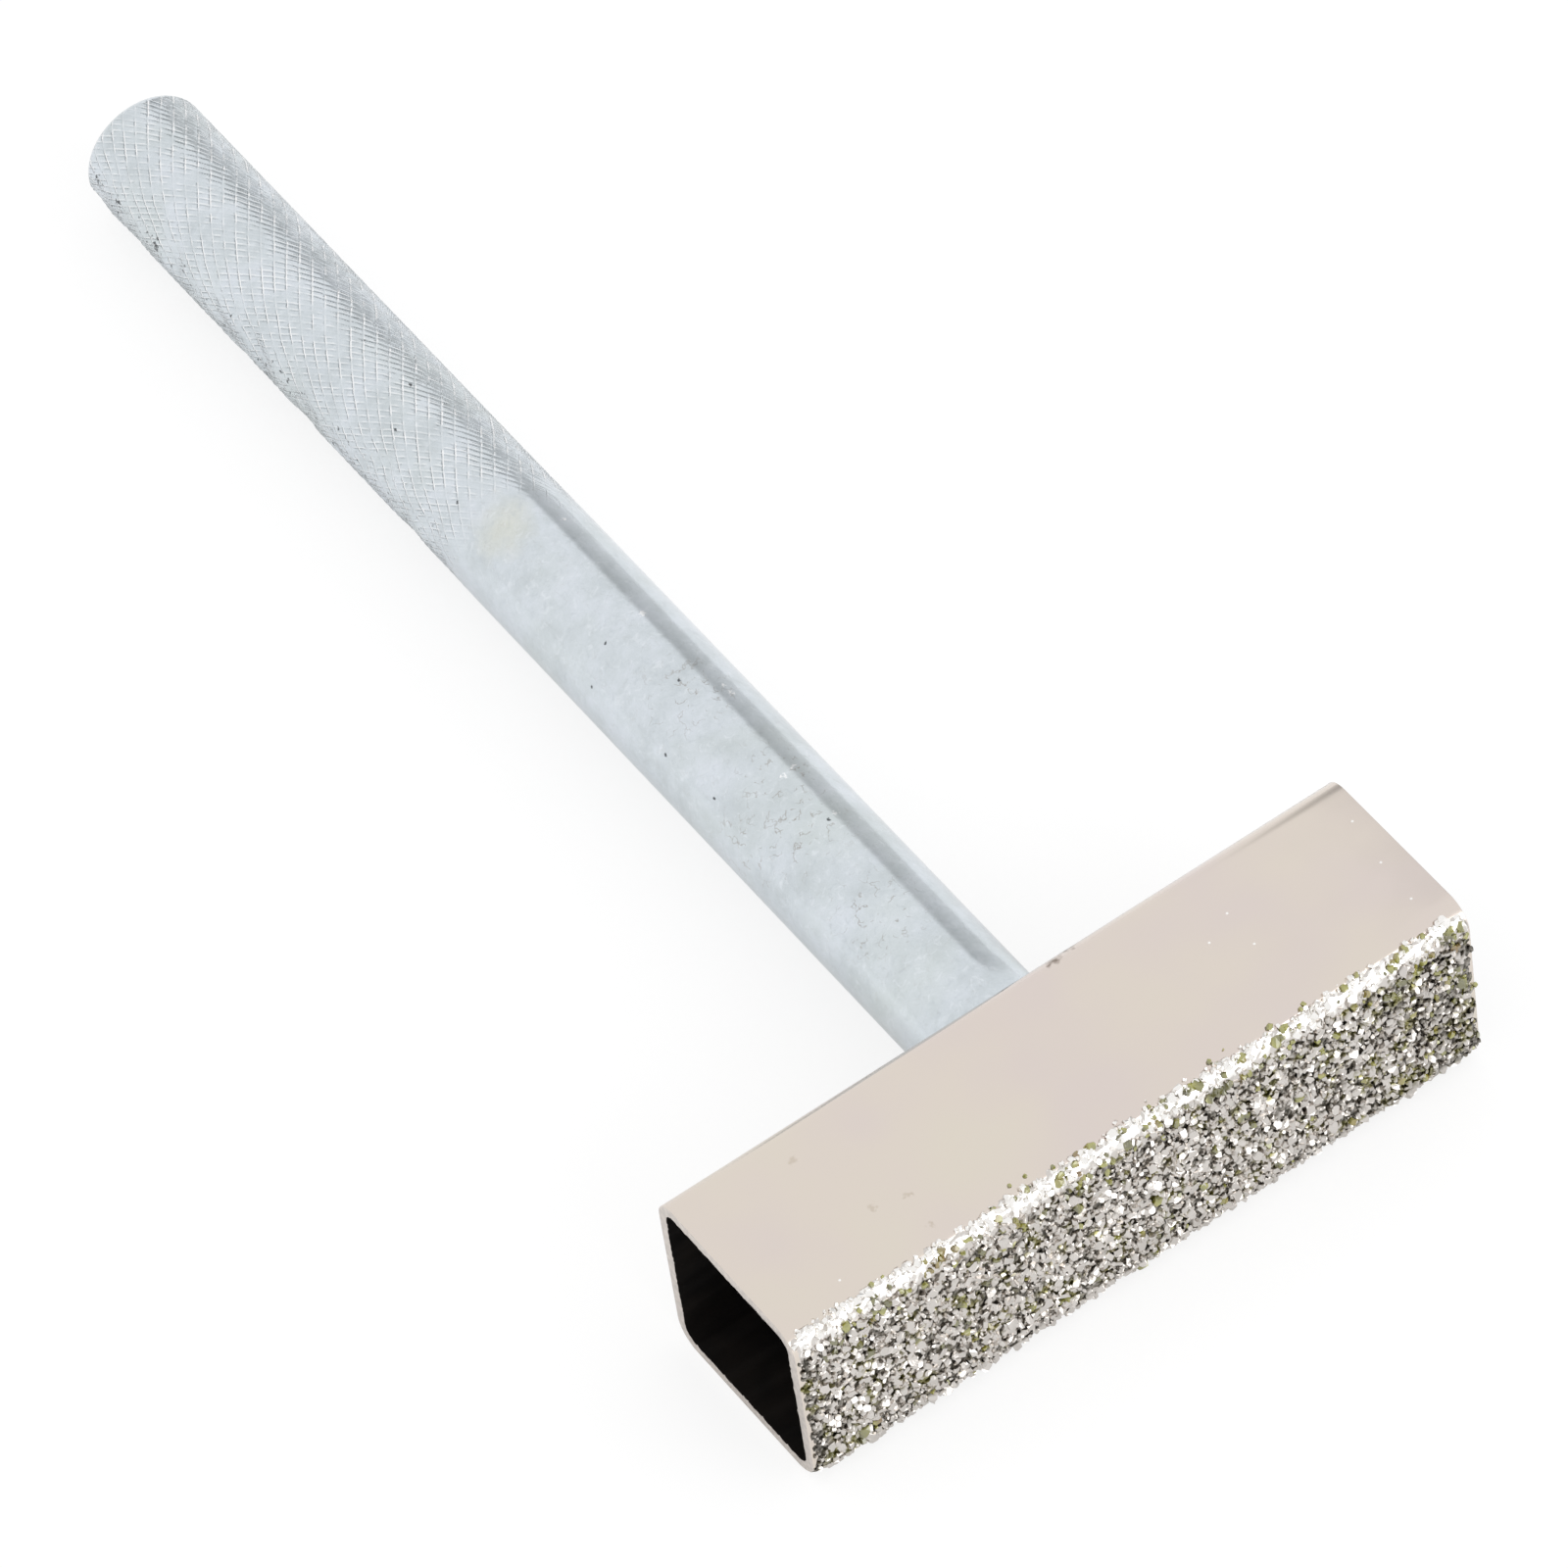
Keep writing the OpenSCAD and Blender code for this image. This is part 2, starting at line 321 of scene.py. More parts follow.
@dataclass(frozen=True)
class ZincPlate:
    """Zinc-plated steel, barrel plated and passivated to a pale blue white.

    A drift is the cell and the range of the noise that makes an outline ragged.
    """

    knurl: Knurl
    dull: str = "#C8CFD3"
    body: str = "#D1D8DD"
    bright: str = "#DAE0E7"
    green_tint: str = "#D0D8D2"
    straw_tint: str = "#E2DEC2"
    # Painted shade of the knurl's grooves, then the white of the painted highlight lines beside them, which
    # the scratches use too.
    groove_shade: str = "#7E868B"
    highlight_and_scratch: str = "#FBFCFD"
    # Painted glints and painted dimple shade of the orange peel.
    glint: str = "#E8EDF2"
    dimple_shade: str = "#BAC2C8"
    crease_shade: str = "#99928A"
    pit_shade: str = "#45474A"
    mottle_mm: float = 3.2
    tint_mm: float = 7.0
    grain_mm: float = 0.5
    peel_mm: float = 0.6
    peel_bump: float = 0.22
    peel_depth: float = 0.02 * MM
    smooth_roughness: Span = (0.1, 0.18)
    grip_roughness: float = 0.02
    knurl_relief: float = 0.022 * MM
    line_drift_mm: Span = (1.2, 0.12)
    line_peaks: tuple[str, str] = ("#FFFFFF", "#C8C8C8")
    dark_stops: tuple = ((0.42, 0.47, 0.53, 0.58), (0.3, 0.42, 0.52, 0.6))
    bright_stops: tuple = ((0.52, 0.56, 0.65, 0.7), (0.55, 0.66, 0.74, 0.86))
    # Patches in which the painted knurl lines show.
    line_patch_mm: float = 0.75
    line_patch_span: Span = (0.42, 0.6)
    line_patch_floor: float = 0.12
    straw_patch: Places = ((-1.45, 52.1, 10.0),)
    straw_reach_mm: float = 2.4
    straw_drift_mm: Span = (2.0, 3.0)
    crease_mm: float = 1.0
    crease_width: Span = (0.008, 0.04)
    crease_drift_mm: Span = (0.6, 1.2)
    crease_break_mm: float = 0.6
    crease_break: Span = (0.51, 0.58)
    crease_patches: Places = ((-0.3, 35.2, 10.3), (0.2, 26.8, 10.3), (-1.2, 23.5, 10.1), (-1.2, 16.0, 10.1),
                              (-3.6, 25.5, 8.0))
    crease_reach_mm: float = 3.4
    crease_floor: float = 0.15
    pits: Places = ((-1.74, 41.43, 9.9), (-3.49, 40.59, 8.19), (-0.29, 36.27, 10.29), (-3.24, 33.62, 8.61),
                    (-3.04, 29.17, 8.88), (0.44, 22.88, 10.28), (0.41, 63.98, 10.28), (-1.98, 62.17, 9.77),
                    (-2.22, 55.53, 9.62), (0.21, 68.49, 10.29), (-3.72, 77.14, 7.69), (-3.64, 75.4, 7.89))
    pit_reach_mm: float = 0.15
    pit_drift_mm: Span = (0.2, 0.3)
    scratches: Places = ((1.16, 27.31, 10.13), (0.32, 26.95, 10.29), (1.59, 33.9, 9.96), (1.58, 34.54, 9.97),
                         (1.1, 23.12, 10.14), (1.59, 50.25, 9.97), (0.95, 41.63, 10.18))
    scratch_reach_mm: float = 0.2
    scratch_drift_mm: Span = (0.25, 0.9)
    scars: Places = ((-3.82, 88.99, 7.34), (-3.89, 85.01, 7.02), (-3.88, 91.3, 7.1))
    scar_reach_mm: float = 0.4
    scar_drift_mm: Span = (0.3, 1.6)
    speck_mm: float = 0.35
    speck_span: Span = (0.63, 0.7)
    rough_side: Span = (-3.75 * MM, -3.2 * MM)
    rough_share: float = 0.7

    def material(self) -> Material:
        """Build the plate: soft mottling, tints, knurl lines of painted shade and painted highlight, pits,
        creases and orange peel with painted glints and shade.

        Returns:
            The finished material.
        """
        # Passivated zinc mirrors its surroundings softly, with a cloudy, slightly blue cast. Its own
        # crystals are finer than a pixel, so its grain is drawn as coarse as it needs to show.
        material, tree, shader = new_material("zinc_plate_passivated")
        place = object_place(tree)
        grip = add_node(tree, "Attribute", {"attribute_name": "grip"}, out="Fac")
        crease = self.creases(tree, place)
        pit = self.pitting(tree, place, grip)
        groove, ridge_highlight = self.knurl_lines(tree, place, grip)
        colour = self.colour(tree, place, groove, ridge_highlight, crease, pit)
        grain = add_node(tree, "TexNoise", {"Scale": per_mm(self.grain_mm), "Detail": 3.0}, {"Vector": place})
        satin = add_node(tree, "MapRange", {FROM: NOISE_SPAN, TO: self.smooth_roughness}, {0: grain})
        satin = add_node(tree, "Math", {"operation": "MULTIPLY_ADD", 1: self.grip_roughness},
                         {0: grip, 2: satin})
        relief = add_node(tree, "TexNoise", {"Scale": per_mm(self.peel_mm), "Detail": 5.0, "Distortion": 0.8},
                          {"Vector": place})
        for hollow in (crease, pit):
            relief = add_node(tree, "Math", {"operation": "SUBTRACT"}, {0: relief, 1: hollow})
        bump = add_node(tree, "Bump", {"Strength": self.peel_bump, "Distance": self.peel_depth},
                        {"Height": relief})
        flank = add_node(tree, "Math", {"operation": "SUBTRACT"}, {0: ridge_highlight, 1: groove})
        bump = add_node(tree, "Bump", {"Strength": 1.0, "Distance": self.knurl_relief},
                        {"Height": flank, "Normal": bump})
        plug(tree, shader, {"Base Color": colour, "Metallic": 1.0, "Roughness": satin, "Normal": bump})
        return material

    def colour(self, tree: Tree, place: Socket, groove: Socket, ridge_highlight: Socket, crease: Socket,
               pit: Socket) -> Socket:
        """Mix the plate's colour from its clouds, tints, painted orange-peel glints and shade, painted knurl
        shade and highlight lines, scratches, creases and pits.

        Args:
            tree: Node tree that gets the nodes.
            place: Object coordinates.
            groove: Strength of the painted shade lines in the knurl's grooves.
            ridge_highlight: Strength of the painted highlight lines beside them.
            crease: Strength of the creases.
            pit: Strength of the pits.

        Returns:
            The colour's socket.
        """
        mottle = add_node(tree, "TexNoise", {"Scale": per_mm(self.mottle_mm), "Detail": 8.0,
                          "Roughness": 0.72}, {"Vector": place})
        clouds = add_node(tree, "ValToRGB", {"stops": [
            (0.36, self.dull), (0.5, self.body), (0.66, self.bright)]}, {"Fac": mottle})
        tint = add_node(tree, "TexNoise", {"Scale": per_mm(self.tint_mm), "Detail": 2.0}, {"Vector": place})
        straw = spots(tree, ragged(tree, place, *self.straw_drift_mm), self.straw_patch, self.straw_reach_mm)
        # This noise paints the orange peel's glints and its dimple shade.
        grain = add_node(tree, "TexNoise", {"Scale": per_mm(self.grain_mm), "Detail": 4.0, "Distortion": 1.0},
                         {"Vector": place})
        scratch = spots(tree, ragged(tree, place, *self.scratch_drift_mm), self.scratches,
                        self.scratch_reach_mm)
        return lay_over(tree, clouds, (
            (tint, 0.5, 0.72, 0.3, self.green_tint), (straw, 0.0, 1.0, 0.38, self.straw_tint),
            (grain, 0.57, 0.75, 0.45, self.glint), (grain, 0.43, 0.27, 0.3, self.dimple_shade),
            (groove, 0.0, 1.0, 0.55, self.groove_shade), (ridge_highlight, 0.0, 1.0, 0.95, self.highlight_and_scratch),
            (crease, 0.0, 1.0, 0.65, self.crease_shade), (scratch, 0.0, 0.5, 0.9, self.highlight_and_scratch),
            (pit, 0.2, 0.7, 0.9, self.pit_shade)))

    def knurl_lines(self, tree: Tree, place: Socket, grip: Socket) -> list[Socket]:
        """Paint shade into the bottoms of the knurl's grooves and highlight lines beside them.

        Args:
            tree: Node tree that gets the nodes.
            place: Object coordinates.
            grip: Share of the full knurl.

        Returns:
            The sockets of the painted shade lines and the painted highlight lines.
        """
        cycles = self.knurl.phase_nodes(tree, ragged(tree, place, *self.line_drift_mm))
        line_patches = add_node(tree, "TexNoise", {"Scale": per_mm(self.line_patch_mm), "Detail": 3.0}, {"Vector": place})
        patchy = add_node(tree, "MapRange", {FROM: self.line_patch_span, TO: (self.line_patch_floor, 1.0)}, {0: line_patches})
        patchy = add_node(tree, "Math", {"operation": "MULTIPLY"}, {0: patchy, 1: grip})
        lines = []
        # The stops lie across one groove, first of the coarse set and then of the fine one.
        for groove_stops in (self.dark_stops, self.bright_stops):
            parts = []
            for cycle, stops, peak in zip(cycles, groove_stops, self.line_peaks):
                shades = ("#000000", peak, peak, "#000000")
                parts.append(add_node(tree, "ValToRGB", {"stops": list(zip(stops, shades))}, {"Fac": cycle}))
            line = add_node(tree, "Math", {"operation": "MAXIMUM"}, {0: parts[0], 1: parts[1]})
            lines.append(add_node(tree, "Math", {"operation": "MULTIPLY"}, {0: line, 1: patchy}))
        return lines

    def pitting(self, tree: Tree, place: Socket, grip: Socket) -> Socket:
        """Place the pits and scars of the plate, and the rough specks along the grip's left side.

        Args:
            tree: Node tree that gets the nodes.
            place: Object coordinates.
            grip: Share of the full knurl.

        Returns:
            Socket with the strength of the pits.
        """
        scar = spots(tree, ragged(tree, place, *self.scar_drift_mm), self.scars, self.scar_reach_mm, 0.6)
        pit = spots(tree, ragged(tree, place, *self.pit_drift_mm), self.pits, self.pit_reach_mm, 0.7)
        speck = add_node(tree, "TexNoise", {"Scale": per_mm(self.speck_mm), "Detail": 2.0}, {"Vector": place})
        speck = add_node(tree, "MapRange", {FROM: self.speck_span}, {0: speck})
        across = add_node(tree, "SeparateXYZ", links={0: place}, out="X")
        side = add_node(tree, "MapRange", {FROM: self.rough_side, TO: (self.rough_share, 0.0)}, {0: across})
        for mask in (side, grip):
            speck = add_node(tree, "Math", {"operation": "MULTIPLY"}, {0: speck, 1: mask})
        for spot in (scar, speck):
            pit = add_node(tree, "Math", {"operation": "MAXIMUM"}, {0: pit, 1: spot})
        return pit

    def creases(self, tree: Tree, place: Socket) -> Socket:
        """Draw the short hairline creases in the wrinkled patches of the plate.

        Args:
            tree: Node tree that gets the nodes.
            place: Object coordinates.

        Returns:
            Socket with the strength of the creases.
        """
        edge = add_node(tree, "TexVoronoi", {"feature": "DISTANCE_TO_EDGE", "Scale": per_mm(self.crease_mm)},
                        {"Vector": ragged(tree, place, *self.crease_drift_mm)})
        line = add_node(tree, "MapRange", {FROM: self.crease_width, TO: (1.0, 0.0)}, {0: edge})
        broken = add_node(tree, "TexNoise", {"Scale": per_mm(self.crease_break_mm), "Detail": 1.0},
                          {"Vector": place})
        broken = add_node(tree, "MapRange", {FROM: self.crease_break}, {0: broken})
        patch = spots(tree, place, self.crease_patches, self.crease_reach_mm)
        patch = add_node(tree, "MapRange", {FROM: (0.0, 0.7), TO: (self.crease_floor, 1.0)}, {0: patch})
        for mask in (patch, broken):
            line = add_node(tree, "Math", {"operation": "MULTIPLY"}, {0: line, 1: mask})
        return line


@dataclass(frozen=True)
class NickelPlate:
    """Bright nickel plate on drawn steel tube, warm and nearly even."""

    body: str = "#DDD3C9"
    rose: str = "#DBD0CA"
    straw: str = "#DDD5C8"
    fleck: str = "#FAF9F6"
    smudge_shade: str = "#B4A692"
    stain_shade: str = "#5A4632"
    cloud_mm: float = 9.0
    haze_mm: float = 2.5
    haze_bump: float = 0.05
    haze_depth: float = 0.02 * MM
    roughness: Span = (0.1, 0.17)
    flecks: Places = ((20.7, -3.6, 12.7), (12.32, -0.62, 12.7), (12.43, 1.99, 12.7), (10.49, 1.0, 12.7),
                      (20.94, -0.57, 12.7), (21.47, 2.68, 12.7), (-18.1, -4.5, 12.7))
    fleck_reach_mm: float = 0.1
    smudges: Places = ((-12.1, -2.26, 12.7), (-12.2, -4.6, 12.7), (-13.85, -1.73, 12.7), (-15.5, 3.5, 12.7))
    smudge_reach_mm: float = 0.3
    stains: Places = ((3.3, 5.6, 12.5), (4.4, 6.0, 12.2))
    stain_reach_mm: float = 0.6
    stain_drift_mm: Span = (0.5, 1.2)

    def material(self) -> Material:
        """Build the plate: an even warm mirror with faint clouds, flecks, smudges and a stain.

        Returns:
            The finished material.
        """
        # Nickel has a warm, faintly pink mirror; the drawn tube keeps it a little soft.
        material, tree, shader = new_material("nickel_plate_bright")
        place = object_place(tree)
        cloud = add_node(tree, "TexNoise", {"Scale": per_mm(self.cloud_mm), "Detail": 2.0}, {"Vector": place})
        colour = add_node(tree, "ValToRGB", {"stops": [
            (0.3, self.rose), (0.5, self.body), (0.7, self.straw)]}, {"Fac": cloud})
        haze = add_node(tree, "TexNoise", {"Scale": per_mm(self.haze_mm), "Detail": 3.0}, {"Vector": place})
        bent = ragged(tree, place, *self.stain_drift_mm)
        colour = lay_over(tree, colour, (
            (spots(tree, place, self.flecks, self.fleck_reach_mm), 0.0, 0.5, 1.0, self.fleck),
            (spots(tree, bent, self.smudges, self.smudge_reach_mm), 0.0, 0.6, 0.35, self.smudge_shade),
            (spots(tree, bent, self.stains, self.stain_reach_mm), 0.0, 0.7, 0.8, self.stain_shade)))
        satin = add_node(tree, "MapRange", {FROM: NOISE_SPAN, TO: self.roughness}, {0: haze})
        bump = add_node(tree, "Bump", {"Strength": self.haze_bump, "Distance": self.haze_depth},
                        {"Height": haze})
        plug(tree, shader, {"Base Color": colour, "Metallic": 1.0, "Roughness": satin, "Normal": bump})
        return material


@dataclass(frozen=True)
class PatchyFinish:
    """Finish whose colour changes in patches, with the same gloss all over.

    The stops are those of the colour ramp over the patches, the values go on the shader's own sockets,
    and the bump is its strength and depth.
    """

    name: str
    stops: tuple
    patch_mm: float
    detail: float
    values: dict[str, float]
    bump: Span | None = None

    def material(self) -> Material:
        """Build the finish.

        Returns:
            The finished material.
        """
        material, tree, shader = new_material(self.name)
        patch = add_node(tree, "TexNoise", {"Scale": per_mm(self.patch_mm), "Detail": self.detail},
                         {"Vector": object_place(tree)})
        colour = add_node(tree, "ValToRGB", {"stops": self.stops}, {"Fac": patch})
        plug(tree, shader, {"Base Color": colour, **self.values})
        if self.bump:
            strength, depth = self.bump
            bump = add_node(tree, "Bump", {"Strength": strength, "Distance": depth}, {"Height": patch})
            plug(tree, shader, {"Normal": bump})
        return material


# Cut end of the tube: saw marks under the nickel scatter its mirror, so the rim looks a flat pale grey.
SAWN_END = PatchyFinish("nickel_plate_sawn", ((0.35, "#C7C0BA"), (0.65, "#D9D1CA")), 0.35, 2.0,
                        {"Metallic": 1.0, "Roughness": 0.38}, (0.2, 0.01 * MM))
# Inside of the tube, which the plating bath did not reach: matte oxide scale, its colour painted nearly black
# as the shade deep inside the tube.
BARE_INSIDE_SHADE = PatchyFinish("bare_inside_painted_shade", ((0.35, "#0A0807"), (0.7, "#14100D")), 2.0, 4.0,
                          {"Roughness": 0.85, "Specular IOR Level": 0.1})
# Synthetic diamond that the bond leaves bare: nitrogen colours it from olive to amber, and its high index
# gives sharp white glints.
BARE_DIAMOND = PatchyFinish("diamond_grit_bare", ((0.4, "#5A5719"), (0.55, "#949230"), (0.72, "#75571A")),
                            1.6, 1.0, {"Roughness": 0.12, "IOR": 2.4})


@dataclass(frozen=True)
class GritNickel:
    """Nickel bond that plates over the grit, with painted highlights on the crystals and painted shade
    between them.
    """

    # Painted shade of the gaps and flanks, the colour of the lit crests and the painted highlight of the top
    # border's band; the olive pair where olive grit shows.
    gap: str = "#45423B"
    flank: str = "#938E87"
    crest: str = "#D2CDC8"
    rim: str = "#F4F2EF"
    olive_gap: str = "#45431C"
    olive_flank: str = "#8B8754"
    olive_mm: float = 1.4
    olive_span: Span = (0.52, 0.64)
    olive_share: float = 0.9
    speckle_mm: float = 0.3
    speckle_share: float = 0.5
    top_level: float = 2.0
    roughness: float = 0.18
    grain_mm: float = 0.1
    grain_bump: float = 0.3
    grain_depth: float = 0.02 * MM

    def material(self) -> Material:
        """Build the bond: metal whose colour is painted darker towards the gaps between crystals, as shade,
        and near white along the top border, as a highlight.

        Returns:
            The finished material.
        """
        # The facets get painted highlights and the gaps painted shade, which gives the salt-and-pepper look.
        material, tree, shader = new_material("nickel_bond_over_grit")
        place = object_place(tree)
        # Level of painted light, worked out from each place's height: shade low down, highlights on the
        # crests and along the top border.
        crest = add_node(tree, "Attribute", {"attribute_name": "crest"}, out="Fac")
        speckle = add_node(tree, "TexNoise", {"Scale": per_mm(self.speckle_mm), "Detail": 2.0},
                           {"Vector": place})
        level = add_node(tree, "Math", {"operation": "MULTIPLY_ADD", 1: self.speckle_share},
                         {0: speckle, 2: crest})
        level = add_node(tree, "MapRange", {FROM: (0.0, self.top_level)}, {0: level})
        olive = add_node(tree, "TexNoise", {"Scale": per_mm(self.olive_mm), "Detail": 2.0}, {"Vector": place})
        olive = add_node(tree, "MapRange", {FROM: self.olive_span, TO: (0.0, self.olive_share)}, {0: olive})
        shades = [add_node(tree, "ValToRGB", {"stops": [
            (0.175, gap), (0.3, flank), (0.425, self.crest), (0.72, self.crest), (0.85, self.rim)]},
            {"Fac": level}) for gap, flank in ((self.gap, self.flank), (self.olive_gap, self.olive_flank))]
        colour = add_node(tree, "Mix", {"data_type": "RGBA"}, {0: olive, 6: shades[0], 7: shades[1]}, 2)
        fine = add_node(tree, "TexNoise", {"Scale": per_mm(self.grain_mm), "Detail": 2.0}, {"Vector": place})
        bump = add_node(tree, "Bump", {"Strength": self.grain_bump, "Distance": self.grain_depth},
                        {"Height": fine})
        plug(tree, shader, {"Base Color": colour, "Metallic": 1.0, "Roughness": self.roughness,
                            "Normal": bump})
        return material


# Sub-assemblies

class TubeZone(Enum):
    """Material numbers of the tube's faces."""

    PLATED = 0
    BARE = 1
    SAWN = 2


@dataclass
class HeadTube:
    """Square tube of the head, plated outside and bare inside."""

    low: Vector
    high: Vector
    wall: float = 0.7 * MM
    corner: float = 1.6 * MM
    corner_segments: int = 10
    side_cuts: int = 36
    burr: float = 0.035 * MM
    deburr: float = 0.05 * MM
    deburr_segments: int = 2
    sharp: float = math.radians(45.0)
    seed: int = 11

    @classmethod
    def from_frame(cls) -> "HeadTube":
        """Take the tube's box from the frame."""
        low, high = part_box("head_tube")
        return cls(Vector(low), Vector(high))

    def end_face(self, shape: Shape) -> bmesh.types.BMFace:
        """Draw the rounded square of the tube's left end.

        Args:
            shape: Bmesh that gets the face.

        Returns:
            The face with round corners.
        """
        low, high = self.low, self.high
        corners = [(low.y, low.z), (high.y, low.z), (high.y, high.z), (low.y, high.z)]
        verts = [shape.verts.new((low.x, y, z)) for y, z in corners]
        shape.faces.new(verts)
        bmesh.ops.bevel(shape, geom=verts, offset=self.corner, offset_type="OFFSET", affect="VERTICES",
                        segments=self.corner_segments, profile=0.5, material=-1)
        straight = [edge for edge in shape.edges if edge.calc_length() > self.corner]
        bmesh.ops.subdivide_edges(shape, edges=straight, cuts=self.side_cuts)
        shape.faces.ensure_lookup_table()
        return shape.faces[0]

    def build(self) -> SceneObject:
        """Model the tube and dress it.

        Returns:
            The tube piece.
        """
        shape = bmesh.new()
        face = self.end_face(shape)
        bmesh.ops.inset_individual(shape, faces=[face], thickness=self.wall, use_even_offset=True)
        bmesh.ops.delete(shape, geom=[face], context="FACES_ONLY")
        pulled = bmesh.ops.extrude_face_region(shape, geom=list(shape.faces), use_keep_orig=True)
        moved = [g for g in pulled["geom"] if isinstance(g, bmesh.types.BMVert)]
        bmesh.ops.translate(shape, verts=moved, vec=(self.high.x - self.low.x, 0.0, 0.0))
        bmesh.ops.remove_doubles(shape, verts=list(shape.verts), dist=TOUCH)
        bmesh.ops.recalc_face_normals(shape, faces=list(shape.faces))
        self.roughen_cut(shape)
        self.break_edges(shape)
        self.mark_zones(shape)
        finishes = [NickelPlate().material(), BARE_INSIDE_SHADE.material(), SAWN_END.material()]
        return add_piece("head_tube_plated", shape, finishes, "head_tube")

    def is_inside(self, place: Vector) -> bool:
        """Tell whether a point lies on the tube's inner wall."""
        middle = (self.low + self.high) / 2
        reach = (self.high.z - self.low.z) / 2 - self.wall
        slack = 2.0 * self.burr
        return abs(place.y - middle.y) < reach + slack and abs(place.z - middle.z) < reach + slack

    def roughen_cut(self, shape: Shape) -> None:
        """Make the saw-cut inner edge at both ends slightly uneven."""
        chance = random.Random(self.seed)
        middle = (self.low + self.high) / 2
        for vert in shape.verts:
            if self.is_inside(vert.co):
                outward = Vector((0.0, vert.co.y - middle.y, vert.co.z - middle.z)).normalized()
                vert.co += outward * chance.uniform(-self.burr, self.burr)

    def break_edges(self, shape: Shape) -> None:
        """Break the sharp edges of the two cut ends."""
        ends = (self.low.x, self.high.x)
        rim = [e for e in shape.edges
               if any(all(abs(v.co.x - x) < TOUCH for v in e.verts) for x in ends)
               and e.calc_face_angle(0.0) > self.sharp]
        bmesh.ops.bevel(shape, geom=rim, offset=self.deburr, offset_type="OFFSET", affect="EDGES",
                        segments=self.deburr_segments, profile=0.5, material=-1, clamp_overlap=True)

    def mark_zones(self, shape: Shape) -> None:
        """Give the inner wall and the sawn ends their own material numbers."""
        for face in shape.faces:
            if abs(face.normal.x) > 0.5:
                face.material_index = TubeZone.SAWN.value
            elif self.is_inside(face.calc_center_median()):
                face.material_index = TubeZone.BARE.value


@dataclass(frozen=True)
class RollWear:
    """Uneven depth that worn knurling rolls leave in one set of grooves."""

    mean: float
    swing: float
    least: float
    fineness: float
    most: float = 1.2
    size: float = 1.3 * MM

    def at(self, place: Vector) -> float:
        """Share of the full depth at a place."""
        wave = noise.noise(place * self.fineness / self.size)
        return min(self.most, max(self.least, self.mean + self.swing * wave))


